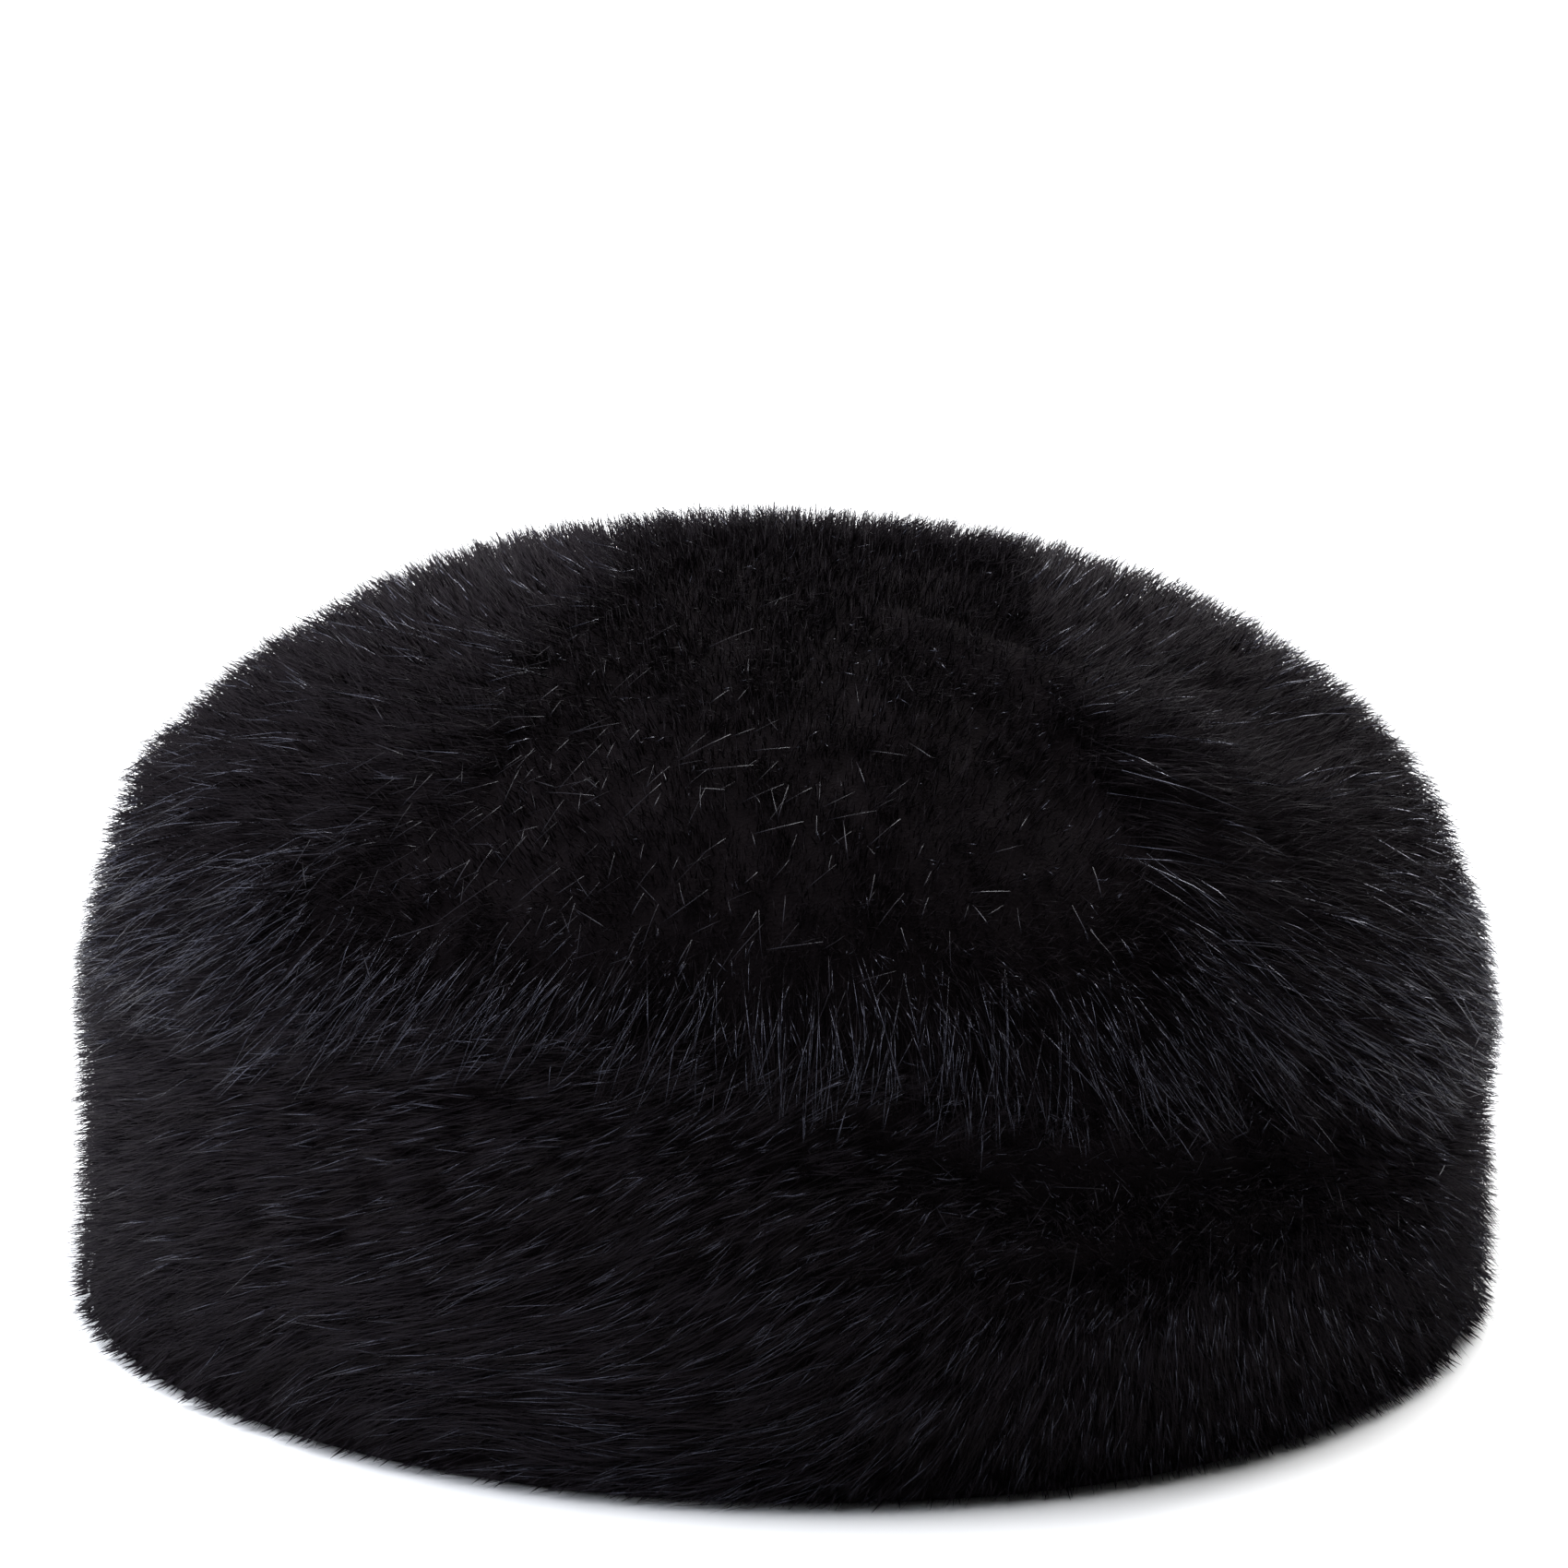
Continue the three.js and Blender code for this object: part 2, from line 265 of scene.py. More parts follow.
def looked_up(rows: tuple, key: str, column: str, value: np.ndarray) -> np.ndarray:
    """Eases a column of a table from one row to the next.

    Args:
        rows: the table, in rising order of its key.
        key: the field that is looked up.
        column: the field that is given.
        value: where to look, of any shape.

    Returns:
        The column's value at each place.
    """
    places = np.array([getattr(row, key) for row in rows], dtype=float)
    values = np.array([getattr(row, column) for row in rows], dtype=float)
    after = np.clip(np.searchsorted(places, value), 1, len(places) - 1)
    share = eased((value - places[after - 1]) / (places[after] - places[after - 1]))
    return values[after - 1] + (values[after] - values[after - 1]) * share


def round_the_hat(column: str, azimuth: np.ndarray) -> np.ndarray:
    """Looks a column of the stations up at any azimuth."""
    return looked_up(ROUND_THE_HAT, "azimuth", column, turn_between(0.0, azimuth))


def place_of(azimuth: np.ndarray, fall: np.ndarray) -> np.ndarray:
    """Lays a fall out flat in its azimuth's direction: (fall sin a, -fall cos a)."""
    turn = np.radians(azimuth)
    return np.stack([fall * np.sin(turn), -fall * np.cos(turn)], axis=-1)


def azimuth_of(place: np.ndarray) -> np.ndarray:
    """Gives the azimuth of a flat place, in degrees."""
    return np.degrees(np.arctan2(place[..., 0], -place[..., 1]))


@dataclass(frozen=True)
class Dome:
    """An upright oval side under a dome whose section is a superellipse.

    Over the shoulder (reach)^across + (rise)^up = 1, where reach is the share of the half-width
    and rise the share of the height from the shoulder to the top.
    """

    width: float
    depth: float
    height: float
    shoulder: float
    across: float
    up: float

    def at(self, azimuth: np.ndarray, fall: np.ndarray, below: np.ndarray) -> np.ndarray:
        """Finds points on the form, or on the like form that lies below it by a depth.

        Args:
            azimuth: degrees round the hat.
            fall: the way down, from 0 to 2 and on below the hem.
            below: how far inside the form, in metres.

        Returns:
            The points, with a last axis of 3.
        """
        turn = np.clip(fall, 0.0, 1.0) * (np.pi / 2)
        reach = np.sin(turn) ** (2 / self.across)
        rise = np.maximum(np.cos(turn), 0.0) ** (2 / self.up)
        z = self.shoulder + (self.height - below - self.shoulder) * rise
        z = z - self.shoulder * np.maximum(fall - 1.0, 0.0)
        x = (self.width / 2 - below) * reach * np.sin(np.radians(azimuth))
        y = -(self.depth / 2 - below) * reach * np.cos(np.radians(azimuth))
        return np.stack(np.broadcast_arrays(x, y, z), axis=-1)

    def fall_at(self, z: np.ndarray) -> np.ndarray:
        """Finds the fall at a height: the dome's formula turned round.

        Args:
            z: heights in metres.

        Returns:
            The falls, from 0 at the top, and 2 and more from the hem down.
        """
        share = np.clip((z - self.shoulder) / (self.height - self.shoulder), 0.0, 1.0)
        over = np.arccos(share ** (self.up / 2)) / (np.pi / 2)
        return np.where(z > self.shoulder, over, 2.0 - z / self.shoulder)


@dataclass(frozen=True)
class FurForm:
    """The surface that the tips of the fur reach, and the layers under it.

    Attributes:
        dome: the form before it is drawn in.
        hem_rounding: the radius of the hem's outer edge.
        upright_below: the height up to which hairs stand on the surface as on an upright one.
        slump: how far the top sinks on the right and rises on the left, a metre across.
        groove_depth: how deep the band's fur lies under the crown's tips, in front.
        groove_at_sides: the share of that depth at the sides and the back.
        groove_azimuth: where the groove is deepest.
        groove_half_span: half its way round, in degrees.
        groove_below: how far its middle lies below the tips.
        groove_half_height: half its height.
        dents_fade_within: the distance from the middle of the top within which dents fade out.
    """

    dome: Dome = Dome(
        width=253 * MM, depth=271 * MM, height=133.2 * MM, shoulder=40 * MM, across=2.2, up=2.72
    )
    hem_rounding: float = 1.5 * MM
    upright_below: float = 3 * MM
    slump: float = 0.015
    groove_depth: float = 2.5 * MM
    groove_at_sides: float = 0.1
    groove_azimuth: float = 32
    groove_half_span: float = 76
    groove_below: float = 4 * MM
    groove_half_height: float = 11 * MM
    dents_fade_within: float = 45 * MM

    def drawn_in(self, azimuth: np.ndarray, point: np.ndarray, region: Region) -> np.ndarray:
        """Adds up how far the dents, the hem and the band's groove draw the fur in.

        Each dent is a hump across times a hump up; the hem is a quarter circle.

        Args:
            azimuth: degrees round the hat.
            point: the form's points before they are drawn in.
            region: the pelt.

        Returns:
            The distance inwards in metres.
        """
        z = point[..., 2]
        from_top = eased(np.hypot(point[..., 0], point[..., 1]) / self.dents_fade_within)
        inwards = np.zeros_like(z)
        for dent in DENTS:
            across = hump(turn_between(dent.azimuth, azimuth), dent.half_span)
            inwards += from_top * dent.depth * across * hump(z - dent.height, dent.half_height)
        if region is Region.BAND:
            middle = round_the_hat("tips", azimuth) - self.groove_below
            in_front = hump(turn_between(self.groove_azimuth, azimuth), self.groove_half_span)
            depth = self.groove_depth * (self.groove_at_sides + (1 - self.groove_at_sides) * in_front)
            inwards += depth * hump(z - middle, self.groove_half_height)
        under_hem = np.clip(1.0 - z / self.hem_rounding, 0.0, 1.0)
        return inwards + self.hem_rounding * (1.0 - np.sqrt(1.0 - under_hem**2))

    def skin(self, place: np.ndarray, below: np.ndarray, region: Region) -> np.ndarray:
        """Finds points of the fur at flat places and depths.

        The form's point is moved towards the middle by what draws it in, then lowered on one side
        in proportion to x and to the height squared.

        Args:
            place: flat places, with a last axis of 2.
            below: depth under the tips in metres.
            region: the pelt.

        Returns:
            The points, with a last axis of 3.
        """
        azimuth = azimuth_of(place)
        fall = np.hypot(place[..., 0], place[..., 1])
        point = self.dome.at(azimuth, fall, below)
        middle = np.zeros_like(point)
        middle[..., 2] = np.minimum(point[..., 2], self.dome.shoulder)
        arm = unit(point - middle)
        point = point - arm * self.drawn_in(azimuth, point, region)[..., None]
        height_share = np.maximum(point[..., 2] / self.dome.height, 0.0)
        point[..., 2] -= self.slump * point[..., 0] * height_share**2
        return point

    def ways(self, place: np.ndarray, region: Region) -> tuple[np.ndarray, np.ndarray]:
        """Finds how the tips' surface moves with each of the two flat numbers.

        Below a least height the surface counts as upright, as it is just above.

        Args:
            place: flat places, with a last axis of 2.
            region: the pelt.

        Returns:
            Two arrays of vectors, by central differences.
        """
        nudge = 1e-3
        lowest = 2.0 - self.upright_below / self.dome.shoulder
        fall = np.maximum(np.linalg.norm(place, axis=-1, keepdims=True), 1e-9)
        place = place * np.minimum(1.0, lowest / fall)
        level = np.zeros(place.shape[:-1])
        steps = []
        for step in (np.array([nudge, 0.0]), np.array([0.0, nudge])):
            ahead = self.skin(place + step, level, region)
            behind = self.skin(place - step, level, region)
            steps.append((ahead - behind) / (2 * nudge))
        return steps[0], steps[1]


def drift(point: np.ndarray, wavelength: float, seed: float) -> np.ndarray:
    """Gives a smooth wandering number from -1 to 1: the mean of three sines of leaning planes.

    Args:
        point: where, in metres.
        wavelength: the length of a wave in metres.
        seed: shifts the waves.

    Returns:
        One number a point.
    """
    leans = np.array([[0.91, 0.33, 0.52], [-0.38, 0.84, 0.61], [0.47, -0.66, 0.83]])
    phases = np.array([1.3, 4.1, 2.2]) * seed
    turns = point @ leans.T * (2 * np.pi / wavelength) + phases
    return np.sin(turns + 1.1 * np.sin(turns[..., ::-1] * 0.7)).mean(axis=-1)


@dataclass
class MeshArrays:
    """A mesh as plain arrays: points, the corners of its faces, and what each corner or face has."""

    points: np.ndarray
    corners: np.ndarray
    face_sizes: np.ndarray
    corner_map: np.ndarray
    face_finish: np.ndarray
    map_name: str

    def to_object(self, name: str, materials: list[bpy.types.Material]) -> bpy.types.Object:
        """Makes the Blender object, smooth and at the origin.

        Args:
            name: the piece's name.
            materials: one for each finish number of the faces.

        Returns:
            The object, linked to the scene.
        """
        mesh = bpy.data.meshes.new(name)
        mesh.vertices.add(len(self.points))
        mesh.vertices.foreach_set("co", self.points.astype(np.float32).ravel())
        mesh.loops.add(len(self.corners))
        mesh.loops.foreach_set("vertex_index", self.corners.astype(np.int32))
        mesh.polygons.add(len(self.face_sizes))
        starts = np.concatenate([[0], np.cumsum(self.face_sizes)[:-1]])
        mesh.polygons.foreach_set("loop_start", starts.astype(np.int32))
        mesh.update(calc_edges=True)
        mesh.polygons.foreach_set("material_index", self.face_finish.astype(np.int32))
        mesh.polygons.foreach_set("use_smooth", np.ones(len(self.face_sizes), dtype=bool))
        layer = mesh.uv_layers.new(name=self.map_name)
        layer.data.foreach_set("uv", self.corner_map.astype(np.float32).ravel())
        for material in materials:
            mesh.materials.append(material)
        mesh.validate()
        made = bpy.data.objects.new(name, mesh)
        bpy.context.scene.collection.objects.link(made)
        return made


def linear(hex_colour: str) -> tuple[float, float, float, float]:
    """Turns a colour into linear light, each channel by the sRGB curve.

    Args:
        hex_colour: an sRGB colour such as #1c1a1f.

    Returns:
        Red, green, blue and an alpha of 1.
    """
    channels = [int(hex_colour[i : i + 2], 16) / 255 for i in (1, 3, 5)]
    red, green, blue = [c / 12.92 if c <= 0.04045 else ((c + 0.055) / 1.055) ** 2.4 for c in channels]
    return red, green, blue, 1.0


def add_node(
    tree: bpy.types.NodeTree,
    kind: str,
    settings: dict[str, object] | None = None,
    inputs: dict[str | int, object] | None = None,
) -> bpy.types.Node:
    """Adds a node, sets it up and feeds its sockets.

    Args:
        tree: the material's node tree.
        kind: the node's type.
        settings: properties of the node.
        inputs: by socket, a constant, or another node's output to link.

    Returns:
        The node.
    """
    node = tree.nodes.new(kind)
    for key, value in (settings or {}).items():
        setattr(node, key, value)
    for key, value in (inputs or {}).items():
        if isinstance(value, bpy.types.NodeSocket):
            tree.links.new(value, node.inputs[key])
        else:
            node.inputs[key].default_value = value
    return node


def new_tree(name: str) -> tuple[bpy.types.Material, bpy.types.NodeTree]:
    """Makes a material with an empty node tree.

    Args:
        name: the material's name.

    Returns:
        The material and its tree.
    """
    material = bpy.data.materials.new(name)
    material.use_nodes = True
    material.node_tree.nodes.clear()
    return material, material.node_tree


def mixed(
    tree: bpy.types.NodeTree, share: bpy.types.NodeSocket, low: str, high: str
) -> bpy.types.NodeSocket:
    """Mixes two colours.

    Args:
        tree: the material's node tree.
        share: how much of the second colour there is, from 0 to 1.
        low: the first colour, in hex.
        high: the second colour.

    Returns:
        The mixed colour.
    """
    inputs = {0: share, 6: linear(low), 7: linear(high)}
    return add_node(tree, "ShaderNodeMix", {"data_type": "RGBA"}, inputs).outputs[2]


def bumped(
    tree: bpy.types.NodeTree, height: bpy.types.NodeSocket, strength: float, distance: float
) -> bpy.types.NodeSocket:
    """Makes a relief of a height from 0 to 1.

    Args:
        tree: the material's node tree.
        height: the height.
        strength: how much of the relief shows.
        distance: how high it is, in metres.

    Returns:
        The normal.
    """
    inputs = {"Strength": strength, "Distance": distance, "Height": height}
    return add_node(tree, "ShaderNodeBump", inputs=inputs).outputs[0]


def close_tree(tree: bpy.types.NodeTree, inputs: dict[str, object]) -> None:
    """Adds the surface's shader with its inputs, and the material's output."""
    shader = add_node(tree, "ShaderNodeBsdfPrincipled", inputs=inputs)
    add_node(tree, "ShaderNodeOutputMaterial", inputs={"Surface": shader.outputs["BSDF"]})


@dataclass(frozen=True)
class ModacrylicPile:
    """Black dope-dyed modacrylic fibre, drawn and cut: a smooth round hair with a hard glint.

    The colour runs from the root to the tip, and its strength by shades from hair to hair; a root
    colour lighter than the tip's is painted light that lifts the shade deep in the pile. IOR 1.5 is
    modacrylic's; a low specular level stands for the light that neighbouring hairs, far finer than
    the drawn ones, swallow.
    """

    name: str
    root: str
    tip: str
    roughness: float
    specular: float
    tint: str = "#dbdfff"
    rooted_to: float = 0.25
    least_shade: float = 0.75
    most_shade: float = 1.25

    def build(self) -> bpy.types.Material:
        """Makes the material: the pile map's numbers are a hair's shade and the way along it."""
        material, tree = new_tree(self.name)
        where = add_node(tree, "ShaderNodeUVMap", {"uv_map": PILE_MAP})
        split = add_node(tree, "ShaderNodeSeparateXYZ", inputs={0: where.outputs["UV"]})
        along = add_node(
            tree,
            "ShaderNodeMapRange",
            inputs={"Value": split.outputs["Y"], "From Min": self.rooted_to, "From Max": 1.0},
        )
        shade = add_node(
            tree,
            "ShaderNodeMapRange",
            inputs={
                "Value": split.outputs["X"],
                "To Min": self.least_shade,
                "To Max": self.most_shade,
            },
        )
        coloured = add_node(
            tree,
            "ShaderNodeVectorMath",
            {"operation": "SCALE"},
            {0: mixed(tree, along.outputs[0], self.root, self.tip), "Scale": shade.outputs[0]},
        )
        close_tree(
            tree,
            {
                "Base Color": coloured.outputs[0],
                "Roughness": self.roughness,
                "IOR": 1.5,
                "Specular IOR Level": self.specular,
                "Specular Tint": linear(self.tint),
            },
        )
        return material


@dataclass(frozen=True)
class KnitBacking:
    """The pelt's warp-knit polyester backing: matt black, with fine upright wales."""

    name: str = "warp_knit_backing"
    thread: str = "#1c1a1f"
    gap: str = "#0a090b"
    wale: float = 1.6 * MM
    course: float = 1.28 * MM
    unevenness: float = 0.6
    relief: float = 0.3 * MM
    relief_strength: float = 0.6
    roughness: float = 0.9

    def build(self) -> bpy.types.Material:
        """Makes the material: crossed sine waves over the cloth map, which is in metres.

        The wave node repeats after pi / (10 scale).
        """
        material, tree = new_tree(self.name)
        where = add_node(tree, "ShaderNodeUVMap", {"uv_map": CLOTH_MAP})
        waves = []
        for bands, pitch in (("X", self.wale), ("Y", self.course)):
            inputs = {
                "Vector": where.outputs["UV"],
                "Scale": math.pi / (10 * pitch),
                "Distortion": self.unevenness,
            }
            wave = add_node(tree, "ShaderNodeTexWave", {"bands_direction": bands}, inputs)
            waves.append(wave.outputs["Fac"])
        product = add_node(
            tree, "ShaderNodeMath", {"operation": "MULTIPLY"}, {0: waves[0], 1: waves[1]}
        )
        knit = product.outputs[0]
        close_tree(
            tree,
            {
                "Base Color": mixed(tree, knit, self.gap, self.thread),
                "Roughness": self.roughness,
                "IOR": 1.5,
                "Normal": bumped(tree, knit, self.relief_strength, self.relief),
            },
        )
        return material


@dataclass(frozen=True)
class DenseUnderfur:
    """The dense dull ground of the pile, deep between the hairs: the fibre's near-black, partly
    painted shade.
    """

    name: str = "dense_underfur"
    # Both colours are darker than the hairs': the fibre's black plus painted shade for the depth of
    # the pile; the noise between them is tufts.
    dark: str = "#0b080a"
    light: str = "#120e10"
    tuft: float = 0.7 * MM
    relief: float = 0.6 * MM
    relief_strength: float = 0.8
    roughness: float = 0.95
    specular: float = 0.03

    def build(self) -> bpy.types.Material:
        """Makes the material: fine noise on Object coordinates, as tufts, in colour and bump."""
        material, tree = new_tree(self.name)
        where = add_node(tree, "ShaderNodeTexCoord")
        tufts = add_node(
            tree,
            "ShaderNodeTexNoise",
            inputs={"Vector": where.outputs["Object"], "Scale": 1 / self.tuft, "Detail": 3.0},
        )
        height = tufts.outputs[0]
        close_tree(
            tree,
            {
                "Base Color": mixed(tree, height, self.dark, self.light),
                "Roughness": self.roughness,
                "IOR": 1.5,
                "Specular IOR Level": self.specular,
                "Normal": bumped(tree, height, self.relief_strength, self.relief),
            },
        )
        return material


@dataclass(frozen=True)
class PaleFloor:
    """A matt white sweep of paper."""

    name: str = "white_paper"
    colour: str = "#f4f4f4"

    def build(self) -> bpy.types.Material:
        """Makes the material: flat matt white."""
        material, tree = new_tree(self.name)
        colour = linear(self.colour)
        close_tree(tree, {"Base Color": colour, "Roughness": 1.0, "Specular IOR Level": 0.0})
        return material


def settle(made: bpy.types.Object) -> None:
    """Puts a finished piece on the hat's one body and reports it."""
    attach(made, "root")
    LOG.info("%s: %d faces", made.name, len(made.data.polygons))


def spike_pattern(rings: int) -> tuple[list[tuple[int, ...]], list[tuple[float, float]]]:
    """Lays out the faces of one spike, and their corners over its strip of the pile map.

    Args:
        rings: how many triangles of points the spike has below its tip.

    Returns:
        The faces by point number, and a pair from 0 to 1 for each corner in turn.
    """
    faces: list[tuple[int, ...]] = [(0, 2, 1)]
    maps: list[tuple[float, float]] = [(0.0, 0.0), (1.0, 0.0), (0.5, 0.02)]
    for level in range(rings):
        low = level / rings
        high = (level + 1) / rings
        for side in range(3):
            here = level * 3 + side
            beside = level * 3 + (side + 1) % 3
            left, right = side / 3, (side + 1) / 3
            if level < rings - 1:
                faces.append((here, beside, beside + 3, here + 3))
                maps += [(left, low), (right, low), (right, high), (left, high)]
            else:
                faces.append((here, beside, rings * 3))
                maps += [(left, low), (right, low), ((left + right) / 2, high)]
    return faces, maps


def spikes(centres: np.ndarray, radii: np.ndarray, shade: np.ndarray, seed: int) -> MeshArrays:
    """Builds one closed three-sided spike along each row of centres.

    Round every centre but the last stands a triangle square to the spike, turned at random from
    the side that lies across the way out; the last centre is the tip. The pile map is parted into
    upright strips by shade, and a spike fills its strip but for the margins.

    Args:
        centres: (count, rings + 1, 3), from root to tip.
        radii: (rings,) or (count, rings), in metres.
        shade: (count,) from 0 to 1, each hair's place across the pile map.
        seed: of the random turns.

    Returns:
        The mesh.
    """
    count, stations, _ = centres.shape
    rings = stations - 1
    rng = np.random.default_rng(seed)
    forward = unit(np.gradient(centres, axis=1))
    way_out = unit(centres[:, :1] * np.array([1.0, 1.0, 0.5]) + 1e-9)
    aside = unit(np.cross(forward, way_out))
    over = np.cross(aside, forward)
    turn = rng.uniform(0, 2 * np.pi, (count, 1, 1)) + np.arange(3) * (2 * np.pi / 3)
    radii = np.broadcast_to(radii, (count, rings))
    corner = np.cos(turn)[..., None] * aside[:, :rings, None]
    corner = corner + np.sin(turn)[..., None] * over[:, :rings, None]
    ring = centres[:, :rings, None] + radii[..., None, None] * corner
    points = np.concatenate([ring.reshape(count, rings * 3, 3), centres[:, rings:]], axis=1)
    faces, maps = spike_pattern(rings)
    pattern = np.array([corner for face in faces for corner in face])
    sizes = np.array([len(face) for face in faces])
    corners = (np.arange(count)[:, None] * (rings * 3 + 1) + pattern).ravel()
    place = np.array(maps)
    in_strip = STRIP_MARGIN + (1 - 2 * STRIP_MARGIN) * place[:, 0]
    across = (np.floor(shade * STRIPS)[:, None] + in_strip) / STRIPS
    up = np.broadcast_to(MAP_MARGIN + (1 - 2 * MAP_MARGIN) * place[:, 1], across.shape)
    return MeshArrays(
        points=points.reshape(-1, 3),
        corners=corners,
        face_sizes=np.tile(sizes, count),
        corner_map=np.stack([across, up], axis=-1).reshape(-1, 2),
        face_finish=np.zeros(count * len(faces), dtype=int),
        map_name=PILE_MAP,
    )


def spread(count: int, rng: np.random.Generator) -> np.ndarray:
    """Gives evenly spread pairs from 0 to 1: one jittered point in each cell of a square grid.

    Args:
        count: how many pairs.
        rng: where the random draws come from.

    Returns:
        (count, 2) numbers, in random order.
    """
    side = math.ceil(math.sqrt(count))
    cell = rng.permutation(side * side)[:count]
    corner = np.stack([cell // side, cell % side], axis=-1)
    return (corner + rng.uniform(size=(count, 2))) / side


@dataclass(frozen=True)
class Nap:
    """Which way the hairs lie on each pelt, and how far they lean over.

    Over the crown runs a strip from back to front whose hairs all lean to the front and stand up
    above the fringe; beside it the hairs fall to the sides.

    Attributes:
        strip_left: x of the strip's left edge, above its flare.
        strip_left_blur: the width over which the left edge fades.
        strip_flare: how much further out the left edge runs low in front.
        strip_flare_below: the height in the middle of the flare's start.
        strip_flare_height: the height over which the flare starts.
        strip_right: x of the strip's right edge at the back.
        strip_right_blur: the width over which the right edge fades, at the back.
        strip_right_blur_in_front: how much wider that is in front.
        strip_front: y at which the strip stops fanning out.
        strip_back: y at which the strip ends at the back.
        strip_back_blur: the length over which it ends there.
        strip_fan: how much the strip widens on either side, a metre forwards.
        strip_bow: how far forwards the right edge has fanned out by its full share.
        strip_ends_at: the share of the way down to the crown's tips at which hairs start to turn
            from the strip's direction to the fringe's.
        strip_fades_over: the share over which they do.
        fringe_from: the share of the way down at which the sides' nap starts to turn to the
            fringe's.
        fringe_over: the share over which it does.
        band_top_from: the share of the band's height at which its hem's nap gives way.
        band_top_over: the share over which it becomes the nap of the band's top.
        wander: how far the nap wanders to either side, in degrees.
        wander_fine: the share of a finer wandering.
        wavelength: the length of the wandering's waves.
        fine_waves: how many waves of the finer wandering go into one of those.
    """

    strip_left: float = -38 * MM
    strip_left_blur: float = 38 * MM
    strip_flare: float = 34 * MM
    strip_flare_below: float = 113 * MM
    strip_flare_height: float = 28 * MM
    strip_right: float = 44 * MM
    strip_right_blur: float = 4 * MM
    strip_right_blur_in_front: float = 18 * MM
    strip_front: float = -110 * MM
    strip_back: float = 45 * MM
    strip_back_blur: float = 50 * MM
    strip_fan: float = 0.25
    strip_bow: float = 90 * MM
    strip_ends_at: float = 0.78
    strip_fades_over: float = 0.2
    fringe_from: float = 0.55
    fringe_over: float = 0.4
    band_top_from: float = 0.34
    band_top_over: float = 0.4
    wander: float = 8.5
    wander_fine: float = 0.35
    wavelength: float = 62 * MM
    fine_waves: float = 2.6

    def strip_weight(self, point: np.ndarray) -> np.ndarray:
        """Gives 1 on the strip and 0 beside it, eased over each edge's blur.

        The strip's edges fan out to the front, its right edge blurs there, and its left edge runs
        further out low in front.

        Args:
            point: points of the fur.

        Returns:
            One number a point.
        """
        x, y, z = point[:, 0], point[:, 1], point[:, 2]
        forward = np.clip(-y, 0.0, -self.strip_front)
        wider = self.strip_fan * forward
        in_front = (forward / self.strip_front) ** 2
        blur = self.strip_right_blur + self.strip_right_blur_in_front * in_front
        flare = self.strip_flare * eased((self.strip_flare_below - z) / self.strip_flare_height)
        left = eased((x - self.strip_left + wider + flare) / self.strip_left_blur + 0.5)
        right = eased((self.strip_right + wider * forward / self.strip_bow - x) / blur + 0.5)
        back = eased((self.strip_back - y) / self.strip_back_blur + 0.5)
        return left * right * back

    def on_crown(
        self, form: FurForm, place: np.ndarray, point: np.ndarray
    ) -> tuple[np.ndarray, np.ndarray, np.ndarray]:
        """Finds the crown's nap by the tables.

        Args:
            form: the fur's form.
            place: flat places.
            point: the points of the tips' surface there.

        Returns:
            The turn from straight down and the lean, in degrees, and how much of the strip's
            direction the hairs take.
        """
        azimuth = azimuth_of(place)
        tips = form.dome.fall_at(round_the_hat("tips", azimuth))
        share = np.clip(np.hypot(place[:, 0], place[:, 1]) / tips, 0, 1)
        upper = looked_up(CROWN_FALLS, "azimuth", "upper", azimuth)
        fringe = looked_up(CROWN_FALLS, "azimuth", "fringe", azimuth)
        turn = upper + (fringe - upper) * eased((share - self.fringe_from) / self.fringe_over)
        strip = self.strip_weight(point)
        on_strip = looked_up(CROWN_LEANS, "share", "strip", share)
        beside = looked_up(CROWN_LEANS, "share", "sides", share)
        lean = beside + (on_strip - beside) * strip
        lean = lean - (1 - strip) * round_the_hat("stand", azimuth)
        ending = eased((share - self.strip_ends_at) / self.strip_fades_over)
        return turn, lean, strip * (1 - ending)

    def on_band(
        self, place: np.ndarray, point: np.ndarray
    ) -> tuple[np.ndarray, np.ndarray, np.ndarray]:
        """Finds the band's nap by the tables.

        Args:
            place: flat places.
            point: the points of the tips' surface there.

        Returns:
            What on_crown gives, with nothing of the strip.
        """
        azimuth = azimuth_of(place)
        height_share = point[:, 2] / round_the_hat("tips", azimuth)
        upper = eased((height_share - self.band_top_from) / self.band_top_over)
        more = looked_up(BAND_LEANS, "azimuth", "more_turn", azimuth)
        turn = round_the_hat("sweep", azimuth) + more * upper
        top = looked_up(BAND_LEANS, "azimuth", "top", azimuth)
        hem = looked_up(BAND_LEANS, "azimuth", "hem", azimuth)
        lean = hem + (top - hem) * upper - round_the_hat("stand", azimuth)
        return turn, lean, np.zeros(len(place))

